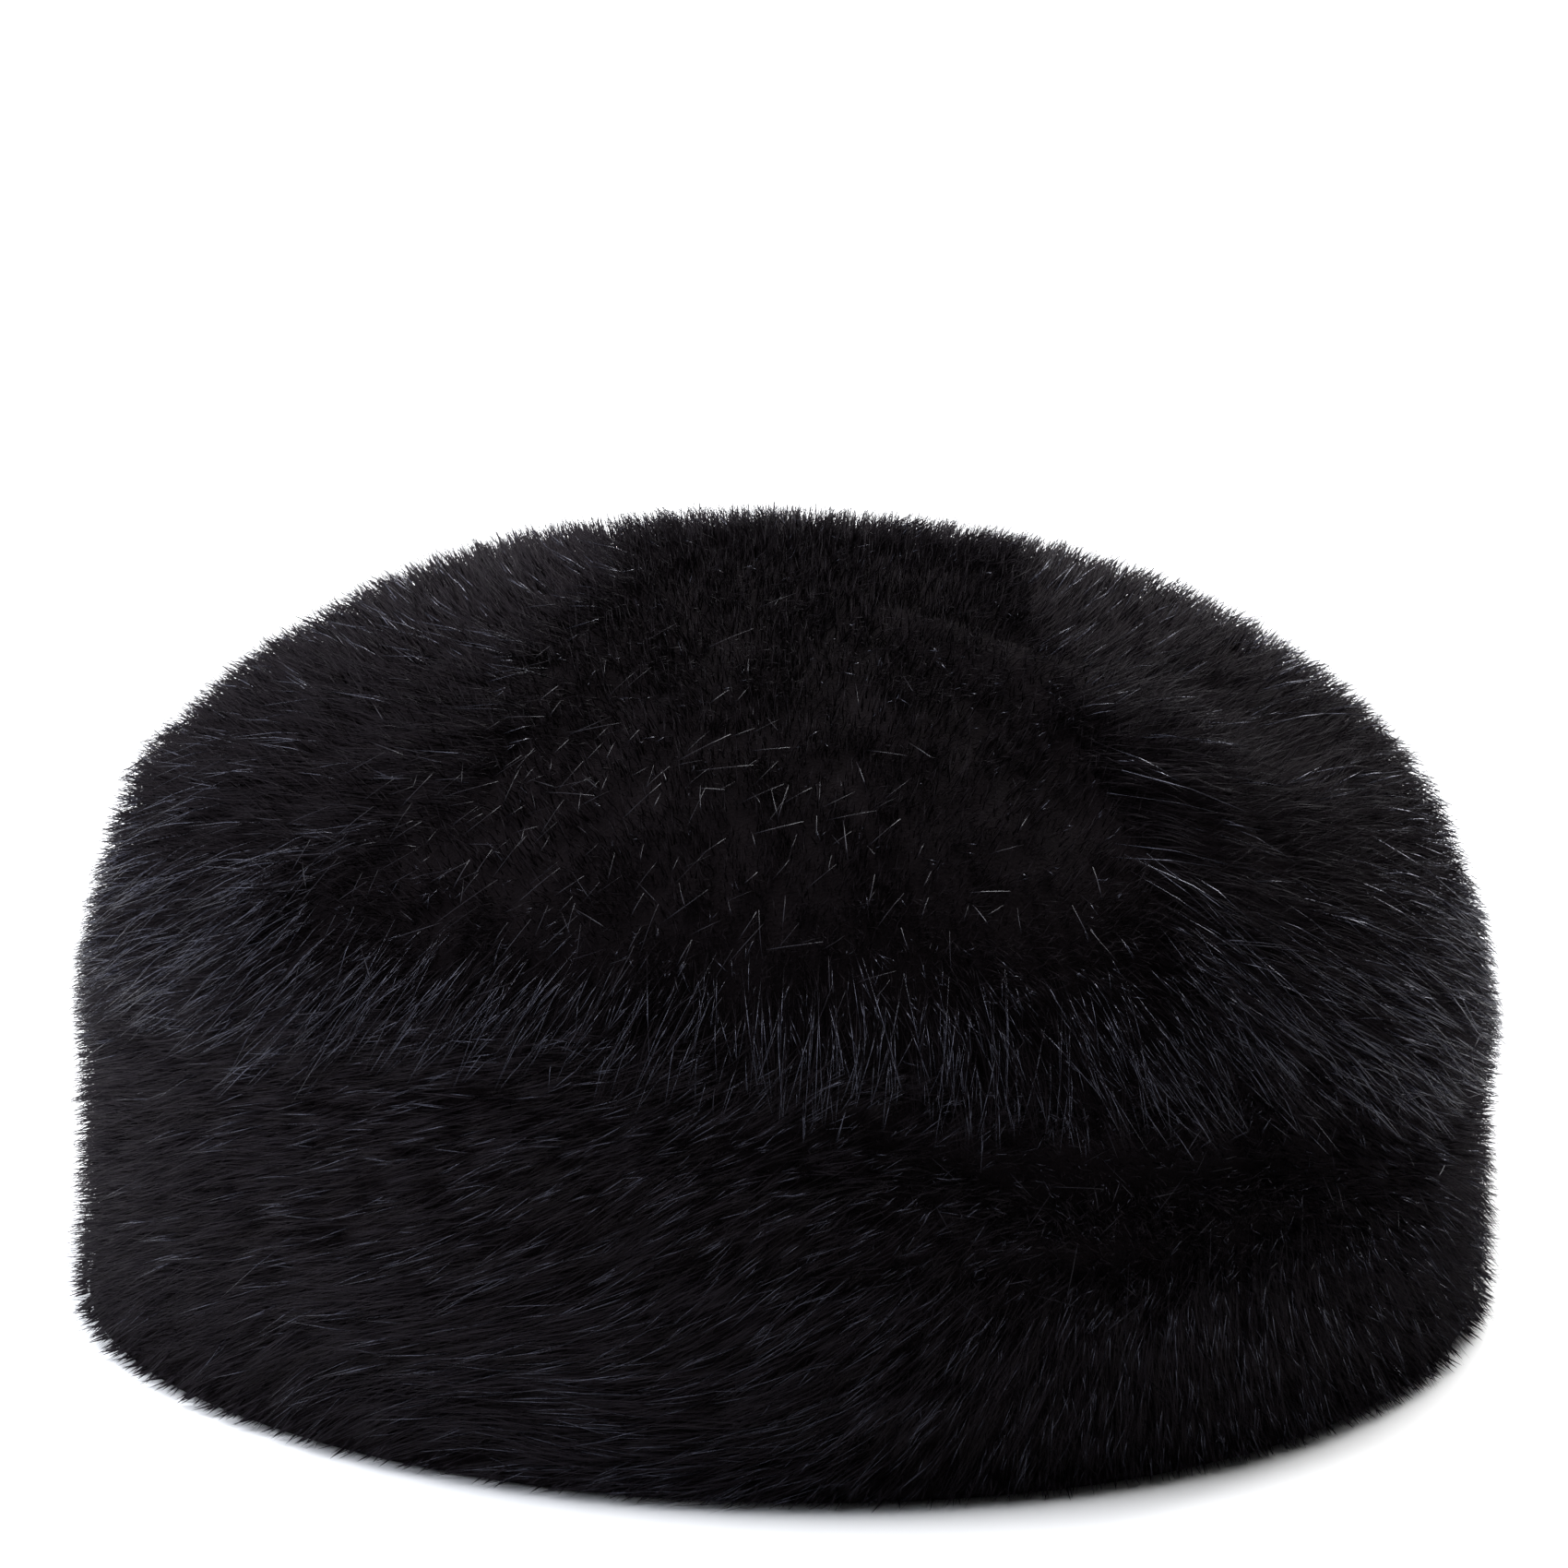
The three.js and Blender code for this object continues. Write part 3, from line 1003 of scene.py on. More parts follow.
    def lie(
        self, form: FurForm, place: np.ndarray, region: Region
    ) -> tuple[np.ndarray, np.ndarray, np.ndarray]:
        """Finds how hairs lie at places.

        Straight down is turned by the tables, the swirls and a wandering angle; on the strip the
        way to the front, laid on the surface, takes its place.

        Args:
            form: the fur's form.
            place: flat places.
            region: the pelt.

        Returns:
            The nap as unit vectors on the surface, the outward unit vectors, and the lean in
            degrees.
        """
        ways = form.ways(place, region)
        point = form.skin(place, np.zeros(len(place)), region)
        azimuth = azimuth_of(place)
        radial = unit(place)
        down = unit(radial[:, :1] * ways[0] + radial[:, 1:] * ways[1])
        out = unit(np.cross(ways[0], ways[1]))
        if region is Region.CROWN:
            turn, lean, strip = self.on_crown(form, place, point)
        else:
            turn, lean, strip = self.on_band(place, point)
        for swirl in SWIRLS:
            if swirl.region is region:
                across = hump(turn_between(swirl.azimuth, azimuth), swirl.half_span)
                upright = hump(point[:, 2] - swirl.height, swirl.half_height)
                turn = turn + swirl.turn * across * upright
        falling = turned(down, out, -turn)
        level = np.zeros(len(place))
        front = np.stack([self.strip_fan * point[:, 0] / self.strip_right, level - 1, level], axis=-1)
        front = unit(front - out * np.sum(front * out, axis=-1, keepdims=True))
        nap = unit(falling * (1 - strip[:, None]) + front * strip[:, None])
        wander = drift(point, self.wavelength, seed=1.7)
        fine = drift(point, self.wavelength / self.fine_waves, seed=2.9)
        wander = wander + self.wander_fine * fine
        return turned(nap, out, self.wander * wander), out, lean


@dataclass(frozen=True)
class Courses:
    """How a layer's hairs run: from their roots straight along the nap while they rise to their tips.

    One row a hair: above is the point of the tips' surface over its tuft, aside its place in the
    tuft and back the way from root to tip over the surface, all in metres.
    """

    above: np.ndarray
    out: np.ndarray
    aside: np.ndarray
    back: np.ndarray
    tip_depth: np.ndarray
    power: np.ndarray
    root_depth: float
    close: float
    roundness: float = 110 * MM

    def at(self, along: np.ndarray) -> np.ndarray:
        """Finds a point of each hair.

        With rest = 1 - along, the depth goes from the root's to the tip's with rest^power, plus
        the surface's own curve, (back * rest)^2 / (2 roundness); the step aside shrinks with
        1 - (1 - close) * along^1.5.

        Args:
            along: the way along each hair, from 0 at its root to 1 at its tip.

        Returns:
            The points, one a hair.
        """
        rest = 1 - along
        close = 1 - (1 - self.close) * along**1.5
        below = self.tip_depth + (self.root_depth - self.tip_depth) * rest**self.power
        below = below + np.sum(self.back**2, axis=-1) * rest**2 / (2 * self.roundness)
        return (
            self.above
            + self.aside * close[:, None]
            - self.back * rest[:, None]
            - self.out * below[:, None]
        )


@dataclass(frozen=True)
class Pile:
    """One layer of hairs on one pelt.

    Hairs stand in small tufts. A hair starts deep at its root, runs along the nap while it rises
    and ends near the tips' surface; towards the tip a tuft draws together. Depths are under the
    tips' surface, and below zero outside it; turns and leans are in degrees.

    Attributes:
        name: the piece's name.
        region: the pelt that the layer stands on.
        hairs: how many hairs are laid, before the hem cuts some off.
        per_tuft: hairs in a tuft.
        rings: stations along a hair below its tip.
        seed: of the layer's random draws.
        root_depth: how deep the roots lie.
        tip_depth: how deep the tips end.
        tip_scatter: how much that varies.
        run_scatter: how much a hair's run over the surface varies, as a share.
        tuft_radius: half a tuft's width at its roots.
        tuft_close: its width at the tips, as a share of that.
        tuft_turn: how much the nap's direction varies from tuft to tuft.
        hair_turn: how much more it varies from hair to hair.
        hair_radius: half a hair's thickness, about.
        thickness_scatter: how much that varies, as a share.
        ragged: how far the edge of the crown's tips wanders up and down.
        ragged_wave: the length of its waves.
        ragged_wave_share: the share of it that the waves have, beside the draw for each tuft.
        level_at_top: the fall from which on the tips end at their own depth.
        trials: places tried for each tuft.
        lowest_fall: the fall of the band's last tufts, with 2 at the hem.
        hem_cut: the height at which hairs are cut off.
        hem_cut_scatter: how much higher some are cut.
        fringe_share: 0 for an even layer, and 1 for one that keeps to the pelts' joint.
        fringe_reach: how far from the joint such a layer reaches, in fall.
        favour_azimuth: the middle of the only stretch where the layer stands.
        favour_span: half that stretch.
        favour_height: the middle of the only heights where it stands.
        favour_rise: half their range.
        crowded: the quantile of the surface a trial stands for past which all trials are kept.
        bend: how much a hair that leans far over bends down.
        bent_at: the lean at which it bends by that much.
        lean_kept: the share of the nap's lean that the layer has.
        lean_more: what it leans besides.
        lean_scatter: how much the lean varies from tuft to tuft.
        lean_most: the most that it leans.
        turn_more: how much further than the nap it turns.
        least_kept: the share of a hair that the hem must leave, or the hair is left out.
        least_root: the height that its root must have.
    """

    name: str
    region: Region
    hairs: int
    per_tuft: int
    rings: int
    seed: int
    root_depth: float = 8.2 * MM
    tip_depth: float = -0.6 * MM
    tip_scatter: float = 1.0 * MM
    run_scatter: float = 0.28
    tuft_radius: float = 2.6 * MM
    tuft_close: float = 0.55
    tuft_turn: float = 7.0
    hair_turn: float = 7.0
    hair_radius: float = 0.1 * MM
    thickness_scatter: float = 0.25
    ragged: float = 6.0 * MM
    ragged_wave: float = 23 * MM
    ragged_wave_share: float = 0.6
    level_at_top: float = 0.6
    trials: int = 7
    lowest_fall: float = 2.2
    hem_cut: float = 0.25 * MM
    hem_cut_scatter: float = 0.9 * MM
    fringe_share: float = 0.0
    fringe_reach: float = 0.32
    favour_azimuth: float = 0.0
    favour_span: float = math.inf
    favour_height: float = 0.0
    favour_rise: float = math.inf
    crowded: float = 0.995
    bend: float = 0.6
    bent_at: float = 65.0
    lean_kept: float = 1.0
    lean_more: float = 0.0
    lean_scatter: float = 0.0
    lean_most: float = 70.0
    turn_more: float = 0.0
    least_kept: float = 0.3
    least_root: float = 0.8 * MM

    def tuft_places(self, form: FurForm) -> np.ndarray:
        """Spreads the tufts' tips evenly over the pelt, or over the part that the layer favours.

        Evenly spread azimuths and falls are kept in proportion to the surface that they stand for.

        Args:
            form: the fur's form.

        Returns:
            Flat places, one a tuft.
        """
        rng = np.random.default_rng(self.seed + PLACE_DRAWS)
        tufts = self.hairs // self.per_tuft
        trial = spread(tufts * self.trials, rng)
        azimuth = 360.0 * trial[:, 0] - 180.0
        tips = round_the_hat("tips", azimuth)
        edge = form.dome.at(azimuth, form.dome.fall_at(tips), np.zeros(len(azimuth)))
        wave = self.ragged_wave_share * drift(edge, self.ragged_wave, seed=0.7)
        wander = self.ragged * (wave + rng.uniform(*EDGE_LIMITS, len(tips)))
        tips = form.dome.fall_at(tips + wander)
        if self.region is Region.CROWN:
            span = tips
            fall = trial[:, 1] * span
            from_edge = 1 - fall / tips
        else:
            span = self.lowest_fall - tips
            fall = tips - BAND_UNDER_TIPS + trial[:, 1] * span
            from_edge = fall - tips
        place = place_of(azimuth, fall)
        first, second = form.ways(place, self.region)
        area = np.linalg.norm(np.cross(first, second), axis=-1) * fall * span
        area = area * (1 - self.fringe_share * (1 - hump(from_edge, self.fringe_reach)))
        height = form.skin(place, np.zeros(len(place)), self.region)[:, 2]
        area = area * hump(turn_between(self.favour_azimuth, azimuth), self.favour_span)
        area = area * hump(height - self.favour_height, self.favour_rise)
        kept = rng.uniform(size=len(area)) < area / np.quantile(area, self.crowded)
        return place[kept][:tufts]

    def centres(self, form: FurForm, nap: Nap) -> np.ndarray:
        """Lays each hair from its tip back to its root.

        The run over the surface is the depth times the tangent of the lean. The depth under the
        tips' surface shrinks with a power of the way along that grows with the lean, so that hairs
        that lie over come out steeply and bend down.

        Args:
            form: the fur's form.
            nap: which way the hairs lie.

        Returns:
            (hairs, rings + 1, 3) points, from root to tip.
        """
        rng = np.random.default_rng(self.seed)
        tufts = self.tuft_places(form)
        lie, out, lean = nap.lie(form, tufts, self.region)
        above = form.skin(tufts, np.zeros(len(tufts)), self.region)
        from_top = eased(np.linalg.norm(tufts, axis=-1) / self.level_at_top)
        lean = lean * self.lean_kept + self.lean_more
        lean = lean + self.lean_scatter * rng.normal(size=len(tufts)).clip(*LEAN_LIMITS)
        lean = np.minimum(lean, self.lean_most)
        turn = self.turn_more + self.tuft_turn * rng.normal(size=len(tufts))
        above, lie, out, lean, turn, from_top = [
            np.repeat(values, self.per_tuft, axis=0)
            for values in (above, lie, out, lean, turn, from_top)
        ]
        count = len(above)
        across = np.cross(out, lie)
        lie = turned(lie, out, turn + self.hair_turn * rng.normal(size=count))
        run = (self.root_depth - self.tip_depth) * np.tan(np.radians(lean))
        run = run * (1 + self.run_scatter * rng.normal(size=count)).clip(*RUN_LIMITS)
        angle = rng.uniform(0, 2 * np.pi, count)[:, None]
        radius = self.tuft_radius * np.sqrt(rng.uniform(0, 1, count))[:, None]
        tip_scatter = self.tip_scatter * rng.normal(size=count).clip(*TIP_LIMITS)
        courses = Courses(
            above=above,
            out=out,
            aside=lie * np.cos(angle) * radius + across * np.sin(angle) * radius,
            back=lie * run[:, None],
            tip_depth=self.tip_depth * from_top + tip_scatter,
            power=1 + self.bend * (lean / self.bent_at) ** 2,
            root_depth=self.root_depth,
            close=self.tuft_close,
        )
        root, tip = [courses.at(np.full(count, along))[:, 2] for along in (0.0, 1.0)]
        cut = self.hem_cut + self.hem_cut_scatter * rng.uniform(size=count)
        end = np.clip((root - cut) / np.maximum(root - tip, 1e-6), 0.0, 1.0)
        end = np.where(tip < cut, end, 1.0)
        lines = [courses.at(end * along) for along in np.linspace(0, 1, self.rings + 1)]
        return np.stack(lines, axis=1)[(end > self.least_kept) & (root > self.least_root)]

    def build(self, form: FurForm, nap: Nap, finish: bpy.types.Material) -> None:
        """Makes the layer's one piece.

        A hair's radius follows 0.75 + 0.5 a - 0.5 a^3 with the way a along it, so that it is
        thickest a little above its middle; then it runs out into the tip.

        Args:
            form: the fur's form.
            nap: which way the hairs lie.
            finish: the hairs' material.
        """
        rng = np.random.default_rng(self.seed + THICKNESS_DRAWS)
        lines = self.centres(form, nap)
        along = np.linspace(0, 1, self.rings + 1)[:-1]
        radii = self.hair_radius * (0.75 + 0.5 * along - 0.5 * along**3)
        scatter = self.thickness_scatter
        thick = radii * rng.uniform(1 - scatter, 1 + scatter, (len(lines), 1))
        shade = rng.uniform(0, 0.999, len(lines))
        settle(spikes(lines, thick, shade, self.seed).to_object(self.name, [finish]))


@dataclass(frozen=True)
class Pelt:
    """The ground of one pelt: dense underfur on cloth, a closed wall round the hollow.

    Its outer face lies under the tips' surface, its inner face on the hollow, and the two pelts
    meet along a joint that leans up and inwards from just above the crown's tips.

    Attributes:
        name: the piece's name.
        region: which pelt it is.
        hollow: the hollow for the head.
        ground_depth: how deep the outer face lies under the tips.
        hem_depth: how deep it lies at the hem.
        hem_reach: the height over which it comes out to that.
        relief: how far the outer face wanders in and out.
        relief_wave: the length of that wandering.
        relief_from: the fall over which it grows from nothing at the top.
        joint_outside: how far above the crown's tips the joint lies at the outer face.
        joint_inside: how far above them it lies at the inner face.
        joint_gap: the height of the gap between the pelts.
        hem_lift: how far the hem keeps clear of the ground.
        cloth_radius: the mean radius at which the cloth map's metres round are counted.
        closing_row: the cloth map's metres for the row that closes the section.
        top_share: the share of the way down at which the crown's grid starts.
        steps_round: faces round the hat.
        steps_down: rows down each face.
        steps_across: faces across the wall.
    """

    name: str
    region: Region
    hollow: Dome = Dome(
        width=172 * MM, depth=192 * MM, height=106 * MM, shoulder=34 * MM, across=2.2, up=2.3
    )
    ground_depth: float = 6.6 * MM
    hem_depth: float = 3.0 * MM
    hem_reach: float = 7 * MM
    relief: float = 0.8 * MM
    relief_wave: float = 19 * MM
    relief_from: float = 0.3
    joint_outside: float = 6 * MM
    joint_inside: float = 12.5 * MM
    joint_gap: float = 0.4 * MM
    hem_lift: float = 0.5 * MM
    cloth_radius: float = 90 * MM
    closing_row: float = 10 * MM
    top_share: float = 0.004
    steps_round: int = 180
    steps_down: int = 30
    steps_across: int = 5

    def outer(self, form: FurForm, azimuth: np.ndarray, fall: np.ndarray) -> np.ndarray:
        """Finds the ground's outer face: the tips' surface, moved in, with a wandering relief.

        It comes out over the last few millimetres, so that the hem is dense to its edge.

        Args:
            form: the fur's form.
            azimuth: degrees round the hat.
            fall: the way down.

        Returns:
            The points, with a last axis of 3.
        """
        place = place_of(azimuth, fall)
        from_hem = eased((2.0 - fall) * form.dome.shoulder / self.hem_reach)
        depth = self.hem_depth + (self.ground_depth - self.hem_depth) * from_hem
        wander = drift(form.skin(place, depth, self.region), self.relief_wave, seed=3.1)
        relief = self.relief * wander * eased(fall / self.relief_from) * from_hem
        return form.skin(place, depth + relief, self.region)

    def inner(self, azimuth: np.ndarray, fall: np.ndarray) -> np.ndarray:
        """Finds the inner face: the hollow's own form."""
        return self.hollow.at(azimuth, fall, np.zeros_like(fall))

    def section(self, form: FurForm) -> tuple[list[np.ndarray], list[int]]:
        """Lays out the wall's section at every azimuth, as strips that follow one another.

        Args:
            form: the fur's form.

        Returns:
            The strips, each (down, round, 3), and the finish of the faces along each.
        """
        azimuth = np.linspace(-180, 180, self.steps_round, endpoint=False)[None, :]
        tips = round_the_hat("tips", azimuth)
        upwards = 1 if self.region is Region.CROWN else -1
        gap = upwards * self.joint_gap / 2
        out_joint = form.dome.fall_at(tips + self.joint_outside + gap)
        in_joint = self.hollow.fall_at(tips + self.joint_inside + gap)
        down = np.linspace(0, 1, self.steps_down)[:, None]
        across = np.linspace(0, 1, self.steps_across + 1)[1:-1, None, None]
        everywhere = azimuth + 0 * down
        if self.region is Region.CROWN:
            from_top = self.top_share + (1 - self.top_share) * down
            outside = self.outer(form, everywhere, out_joint * from_top)
            inside = self.inner(everywhere, in_joint * (1 - (1 - self.top_share) * down))
            under = outside[-1:] * (1 - across) + inside[:1] * across
            return [outside, under, inside], [0, 0, 1]
        outside = self.outer(form, everywhere, out_joint + (2 - out_joint) * down)
        outside[..., 2] = np.maximum(outside[..., 2], self.hem_lift)
        inside = self.inner(everywhere, 2 + (in_joint - 2) * down)
        inside[..., 2] = np.maximum(inside[..., 2], self.hem_lift)
        under = outside[-1:] * (1 - across) + inside[:1] * across
        over = inside[-1:] * (1 - across) + outside[:1] * across
        return [outside, under, inside, over], [0, 0, 1, 0]

    def mesh(self, form: FurForm) -> MeshArrays:
        """Closes the section round the hat.

        The band's last strip joins its first, and the crown's faces are closed at their tops. The
        cloth map is metres round and metres along the section.

        Args:
            form: the fur's form.

        Returns:
            The closed mesh.
        """
        strips, finishes = self.section(form)
        grid = np.concatenate(strips)
        rows, cols = grid.shape[:2]
        closed = self.region is Region.BAND
        starts = np.arange(rows if closed else rows - 1)
        ends = (starts + 1) % rows
        left = np.arange(cols)
        right = (left + 1) % cols
        round_it = ((starts, left), (ends, left), (ends, right), (starts, right))
        quads = np.stack([row[:, None] * cols + col for row, col in round_it], axis=-1)
        length = np.linalg.norm(np.diff(grid, axis=0), axis=-1).mean(axis=1)
        climb = np.cumsum(np.concatenate([[0.0], length, [self.closing_row]]))
        across = np.stack([left, left, left + 1, left + 1], axis=-1) / cols * self.cloth_girth()
        up = np.stack([climb[starts], climb[starts + 1], climb[starts + 1], climb[starts]], axis=-1)
        corner_map = np.stack(np.broadcast_arrays(across[None], up[:, None]), axis=-1)
        row_finish = np.concatenate([np.full(len(s), f) for s, f in zip(strips, finishes)])
        wall = MeshArrays(
            points=grid.reshape(-1, 3),
            corners=quads.ravel(),
            face_sizes=np.full(len(starts) * cols, 4),
            corner_map=corner_map.reshape(-1, 2),
            face_finish=np.repeat(row_finish[starts], cols),
            map_name=CLOTH_MAP,
        )
        return wall if closed else self.with_tops(wall, grid, climb)

    def cloth_girth(self) -> float:
        """Gives the cloth map's metres once round."""
        return 2 * np.pi * self.cloth_radius

    def with_tops(self, wall: MeshArrays, grid: np.ndarray, climb: np.ndarray) -> MeshArrays:
        """Closes the crown's outer and inner faces with a fan of triangles at the top of each.

        Args:
            wall: the wall without its tops.
            grid: its points, (down, round, 3), from the outer top to the inner one.
            climb: the metres along the section at each row.

        Returns:
            The closed mesh.
        """
        rows, cols = grid.shape[:2]
        left = np.arange(cols)
        right = (left + 1) % cols
        middles = np.array([grid[0].mean(axis=0), grid[-1].mean(axis=0)])
        first = np.stack([np.full(cols, rows * cols), left, right], axis=-1)
        last = np.stack([np.full(cols, rows * cols + 1), right, left], axis=-1)
        last[:, 1:] += (rows - 1) * cols
        fan = np.stack([left + 0.5, left, left + 1], axis=-1) / cols * self.cloth_girth()
        low = np.stack([fan, np.broadcast_to([0.0, climb[1], climb[1]], fan.shape)], axis=-1)
        high = low + np.array([0.0, climb[-2]])
        return MeshArrays(
            points=np.concatenate([wall.points, middles]),
            corners=np.concatenate([wall.corners, first.ravel(), last.ravel()]),
            face_sizes=np.concatenate([wall.face_sizes, np.full(2 * cols, 3)]),
            corner_map=np.concatenate([wall.corner_map, low.reshape(-1, 2), high.reshape(-1, 2)]),
            face_finish=np.concatenate([wall.face_finish, np.zeros(cols, int), np.ones(cols, int)]),
            map_name=wall.map_name,
        )

    def build(self, form: FurForm, finishes: list[bpy.types.Material]) -> None:
        """Makes the pelt's ground, in the place of its plain solid.

        Args:
            form: the fur's form.
            finishes: the materials of the ground and of the cloth.
        """
        made = self.mesh(form).to_object(self.name, finishes)
        settle(made)
        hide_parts(self.region.value)


def direction(azimuth: float, elevation: float) -> Vector:
    """Finds which way something stands from the hat.

    Args:
        azimuth: degrees round the hat.
        elevation: degrees above the level.

    Returns:
        The unit vector (cos e sin a, -cos e cos a, sin e).
    """
    turn = math.radians(azimuth)
    lift = math.radians(elevation)
    level = math.cos(lift)
    return Vector((math.sin(turn) * level, -math.cos(turn) * level, math.sin(lift)))


@dataclass(frozen=True)
class Softbox:
    """A flat square lamp, by the direction it stands in and its size."""

    name: str
    azimuth: float
    elevation: float
    distance: float
    size: float
    power: float
    colour: str = "#ffffff"


@dataclass(frozen=True)
class Studio:
    """The pale floor, soft light and camera; lights are in watts, the overhead one a square metre."""

    aim: tuple[float, float, float] = (-0.9 * MM, 0.0, 90.7 * MM)
    camera_elevation: float = 15.27
    camera_distance: float = 2.0
    camera_roll: float = 0.63
    lens: float = 260.0
    floor_size: float = 30.0
    sky: float = 0.05
    sky_colour: str = "#ffffff"
    overhead: float = 3.6
    overhead_angle: float = 40.0
    overhead_tilt: tuple[float, float] = (-6.0, -5.0)
    lamps: tuple[Softbox, ...] = (
        Softbox(
            "left_softbox",
            azimuth=-92,
            elevation=36,
            distance=1.6,
            size=2.0,
            power=53,
            colour="#f0f5ff",
        ),
        Softbox("back_right_softbox", azimuth=152, elevation=40, distance=1.7, size=0.9, power=41),
    )

    def camera(self) -> None:
        """Aims a long lens at the hat, from in front and a little above, and rolls it slightly."""
        data = bpy.data.cameras.new("camera")
        data.lens = self.lens
        data.sensor_width = 36.0
        data.clip_end = 100.0
        made = bpy.data.objects.new("camera", data)
        bpy.context.scene.collection.objects.link(made)
        back = direction(0.0, self.camera_elevation)
        place = Matrix.Translation(Vector(self.aim) + back * self.camera_distance)
        face = (-back).to_track_quat("-Z", "Y").to_matrix().to_4x4()
        made.matrix_world = place @ face @ Matrix.Rotation(math.radians(self.camera_roll), 4, "Z")
        bpy.context.scene.camera = made

    def lights(self) -> None:
        """Sets up a broad overhead light, the softboxes and an even sky."""
        world = bpy.data.worlds.new("studio")
        world.use_nodes = True
        background = world.node_tree.nodes["Background"]
        background.inputs["Color"].default_value = linear(self.sky_colour)
        background.inputs["Strength"].default_value = self.sky
        bpy.context.scene.world = world
        sun = bpy.data.lights.new("overhead", "SUN")
        sun.energy = self.overhead
        sun.angle = math.radians(self.overhead_angle)
        made = bpy.data.objects.new("overhead", sun)
        tilt_x, tilt_y = self.overhead_tilt
        made.rotation_euler = (math.radians(tilt_x), math.radians(tilt_y), 0.0)
        bpy.context.scene.collection.objects.link(made)
        for lamp in self.lamps:
            area = bpy.data.lights.new(lamp.name, "AREA")
            area.size = lamp.size
            area.energy = lamp.power
            area.color = linear(lamp.colour)[:3]
            box = bpy.data.objects.new(lamp.name, area)
            out = direction(lamp.azimuth, lamp.elevation)
            box.location = Vector(self.aim) + out * lamp.distance
            box.rotation_euler = (-out).to_track_quat("-Z", "Y").to_euler()
            bpy.context.scene.collection.objects.link(box)

    def floor(self) -> None:
        """Lays the pale floor at the hem."""
        half = self.floor_size / 2
        mesh = bpy.data.meshes.new("floor")
        corners = [(-half, -half, 0), (half, -half, 0), (half, half, 0), (-half, half, 0)]
        mesh.from_pydata(corners, [], [(0, 1, 2, 3)])
        mesh.materials.append(PaleFloor().build())
        made = bpy.data.objects.new("floor", mesh)
        bpy.context.scene.collection.objects.link(made)

    def build(self) -> None:
        """Makes the camera, the lights and the floor."""
        self.camera()
        self.lights()
        self.floor()
        bpy.context.scene.view_settings.view_transform = "Standard"


@dataclass(frozen=True)
class Coat:
    """Layers of pile that share a finish."""

    finish: ModacrylicPile
    layers: tuple[Pile, ...]


# What the layers of a kind share.
GLOSSY = {
    "root_depth": 5.5 * MM,
    "tuft_radius": 1.6 * MM,
    "tuft_close": 0.25,
    "run_scatter": 0.4,
    "hair_radius": 0.09 * MM,
    "bend": 0.25,
}
STRAY = {"tip_scatter": 0.4 * MM, "lean_kept": 0.0, "lean_most": 80.0, "bend": 0.0}
STANDING = {
    "root_depth": 5 * MM,
    "tip_depth": -1.5 * MM,
    "tip_scatter": 0.6 * MM,
    "hair_radius": 0.17 * MM,
    "lean_kept": 0.2,
}
UNDER = {"tip_depth": 0.9 * MM, "hair_radius": 0.14 * MM}

GLOSSY_COAT = Coat(
    ModacrylicPile(
        "glossy_guard_hair", root="#171417", tip="#171417", roughness=0.2, specular=0.64
    ),
    (
        Pile(
            "crown_glossy_hair",
            Region.CROWN,
            hairs=7600,
            per_tuft=2,
            rings=2,
            seed=11,
            tip_depth=-1.0 * MM,
            hair_turn=8.0,
            fringe_share=0.9,
            lean_more=4.0,
            lean_scatter=9.0,
            **GLOSSY,
        ),
        Pile(
            "band_glossy_hair",
            Region.BAND,
            hairs=5200,
            per_tuft=2,
            rings=2,
            seed=21,
            tip_depth=-0.9 * MM,
            hair_turn=6.0,
            favour_azimuth=16.0,
            favour_span=96.0,
            lean_scatter=4.0,
            **GLOSSY,
        ),
    ),
)
STRAY_COAT = Coat(
    ModacrylicPile("stray_hair", root="#171417", tip="#171417", roughness=0.3, specular=0.14),
    (
        Pile(
            "crown_stray_hair",
            Region.CROWN,
            hairs=300,
            per_tuft=1,
            rings=3,
            seed=14,
            trials=30,
            root_depth=-0.6 * MM,
            tip_depth=-2.4 * MM,
            hair_radius=0.085 * MM,
            tuft_turn=26.0,
            turn_more=-18.0,
            lean_more=75.0,
            lean_scatter=3.5,
            favour_azimuth=-20.0,
            favour_span=60.0,
            favour_height=100 * MM,
            favour_rise=34 * MM,
            **STRAY,
        ),
        Pile(
            "band_stray_hair",
            Region.BAND,
            hairs=110,
            per_tuft=1,
            rings=3,
            seed=24,
            trials=40,
            root_depth=-0.2 * MM,
            tip_depth=-1.8 * MM,
            hair_radius=0.07 * MM,
            tuft_turn=60.0,
            turn_more=40.0,
            lean_more=74.0,
            lean_scatter=4.0,
            favour_azimuth=40.0,
            favour_span=42.0,
            favour_height=48 * MM,
            favour_rise=26 * MM,
            **STRAY,
        ),
    ),
)
# Its roots are painted a shade lighter than its tips: painted light that lifts the shade deep in the
# pile.
DULL_COAT = Coat(
    ModacrylicPile("dull_guard_hair", root="#161214", tip="#151113", roughness=0.5, specular=0.038),
    (
        Pile("crown_guard_hair", Region.CROWN, hairs=19500, per_tuft=6, rings=2, seed=12),
        Pile(
            "crown_standing_tips",
            Region.CROWN,
            hairs=12000,
            per_tuft=1,
            rings=1,
            seed=15,
            **STANDING,
        ),
    ),
)
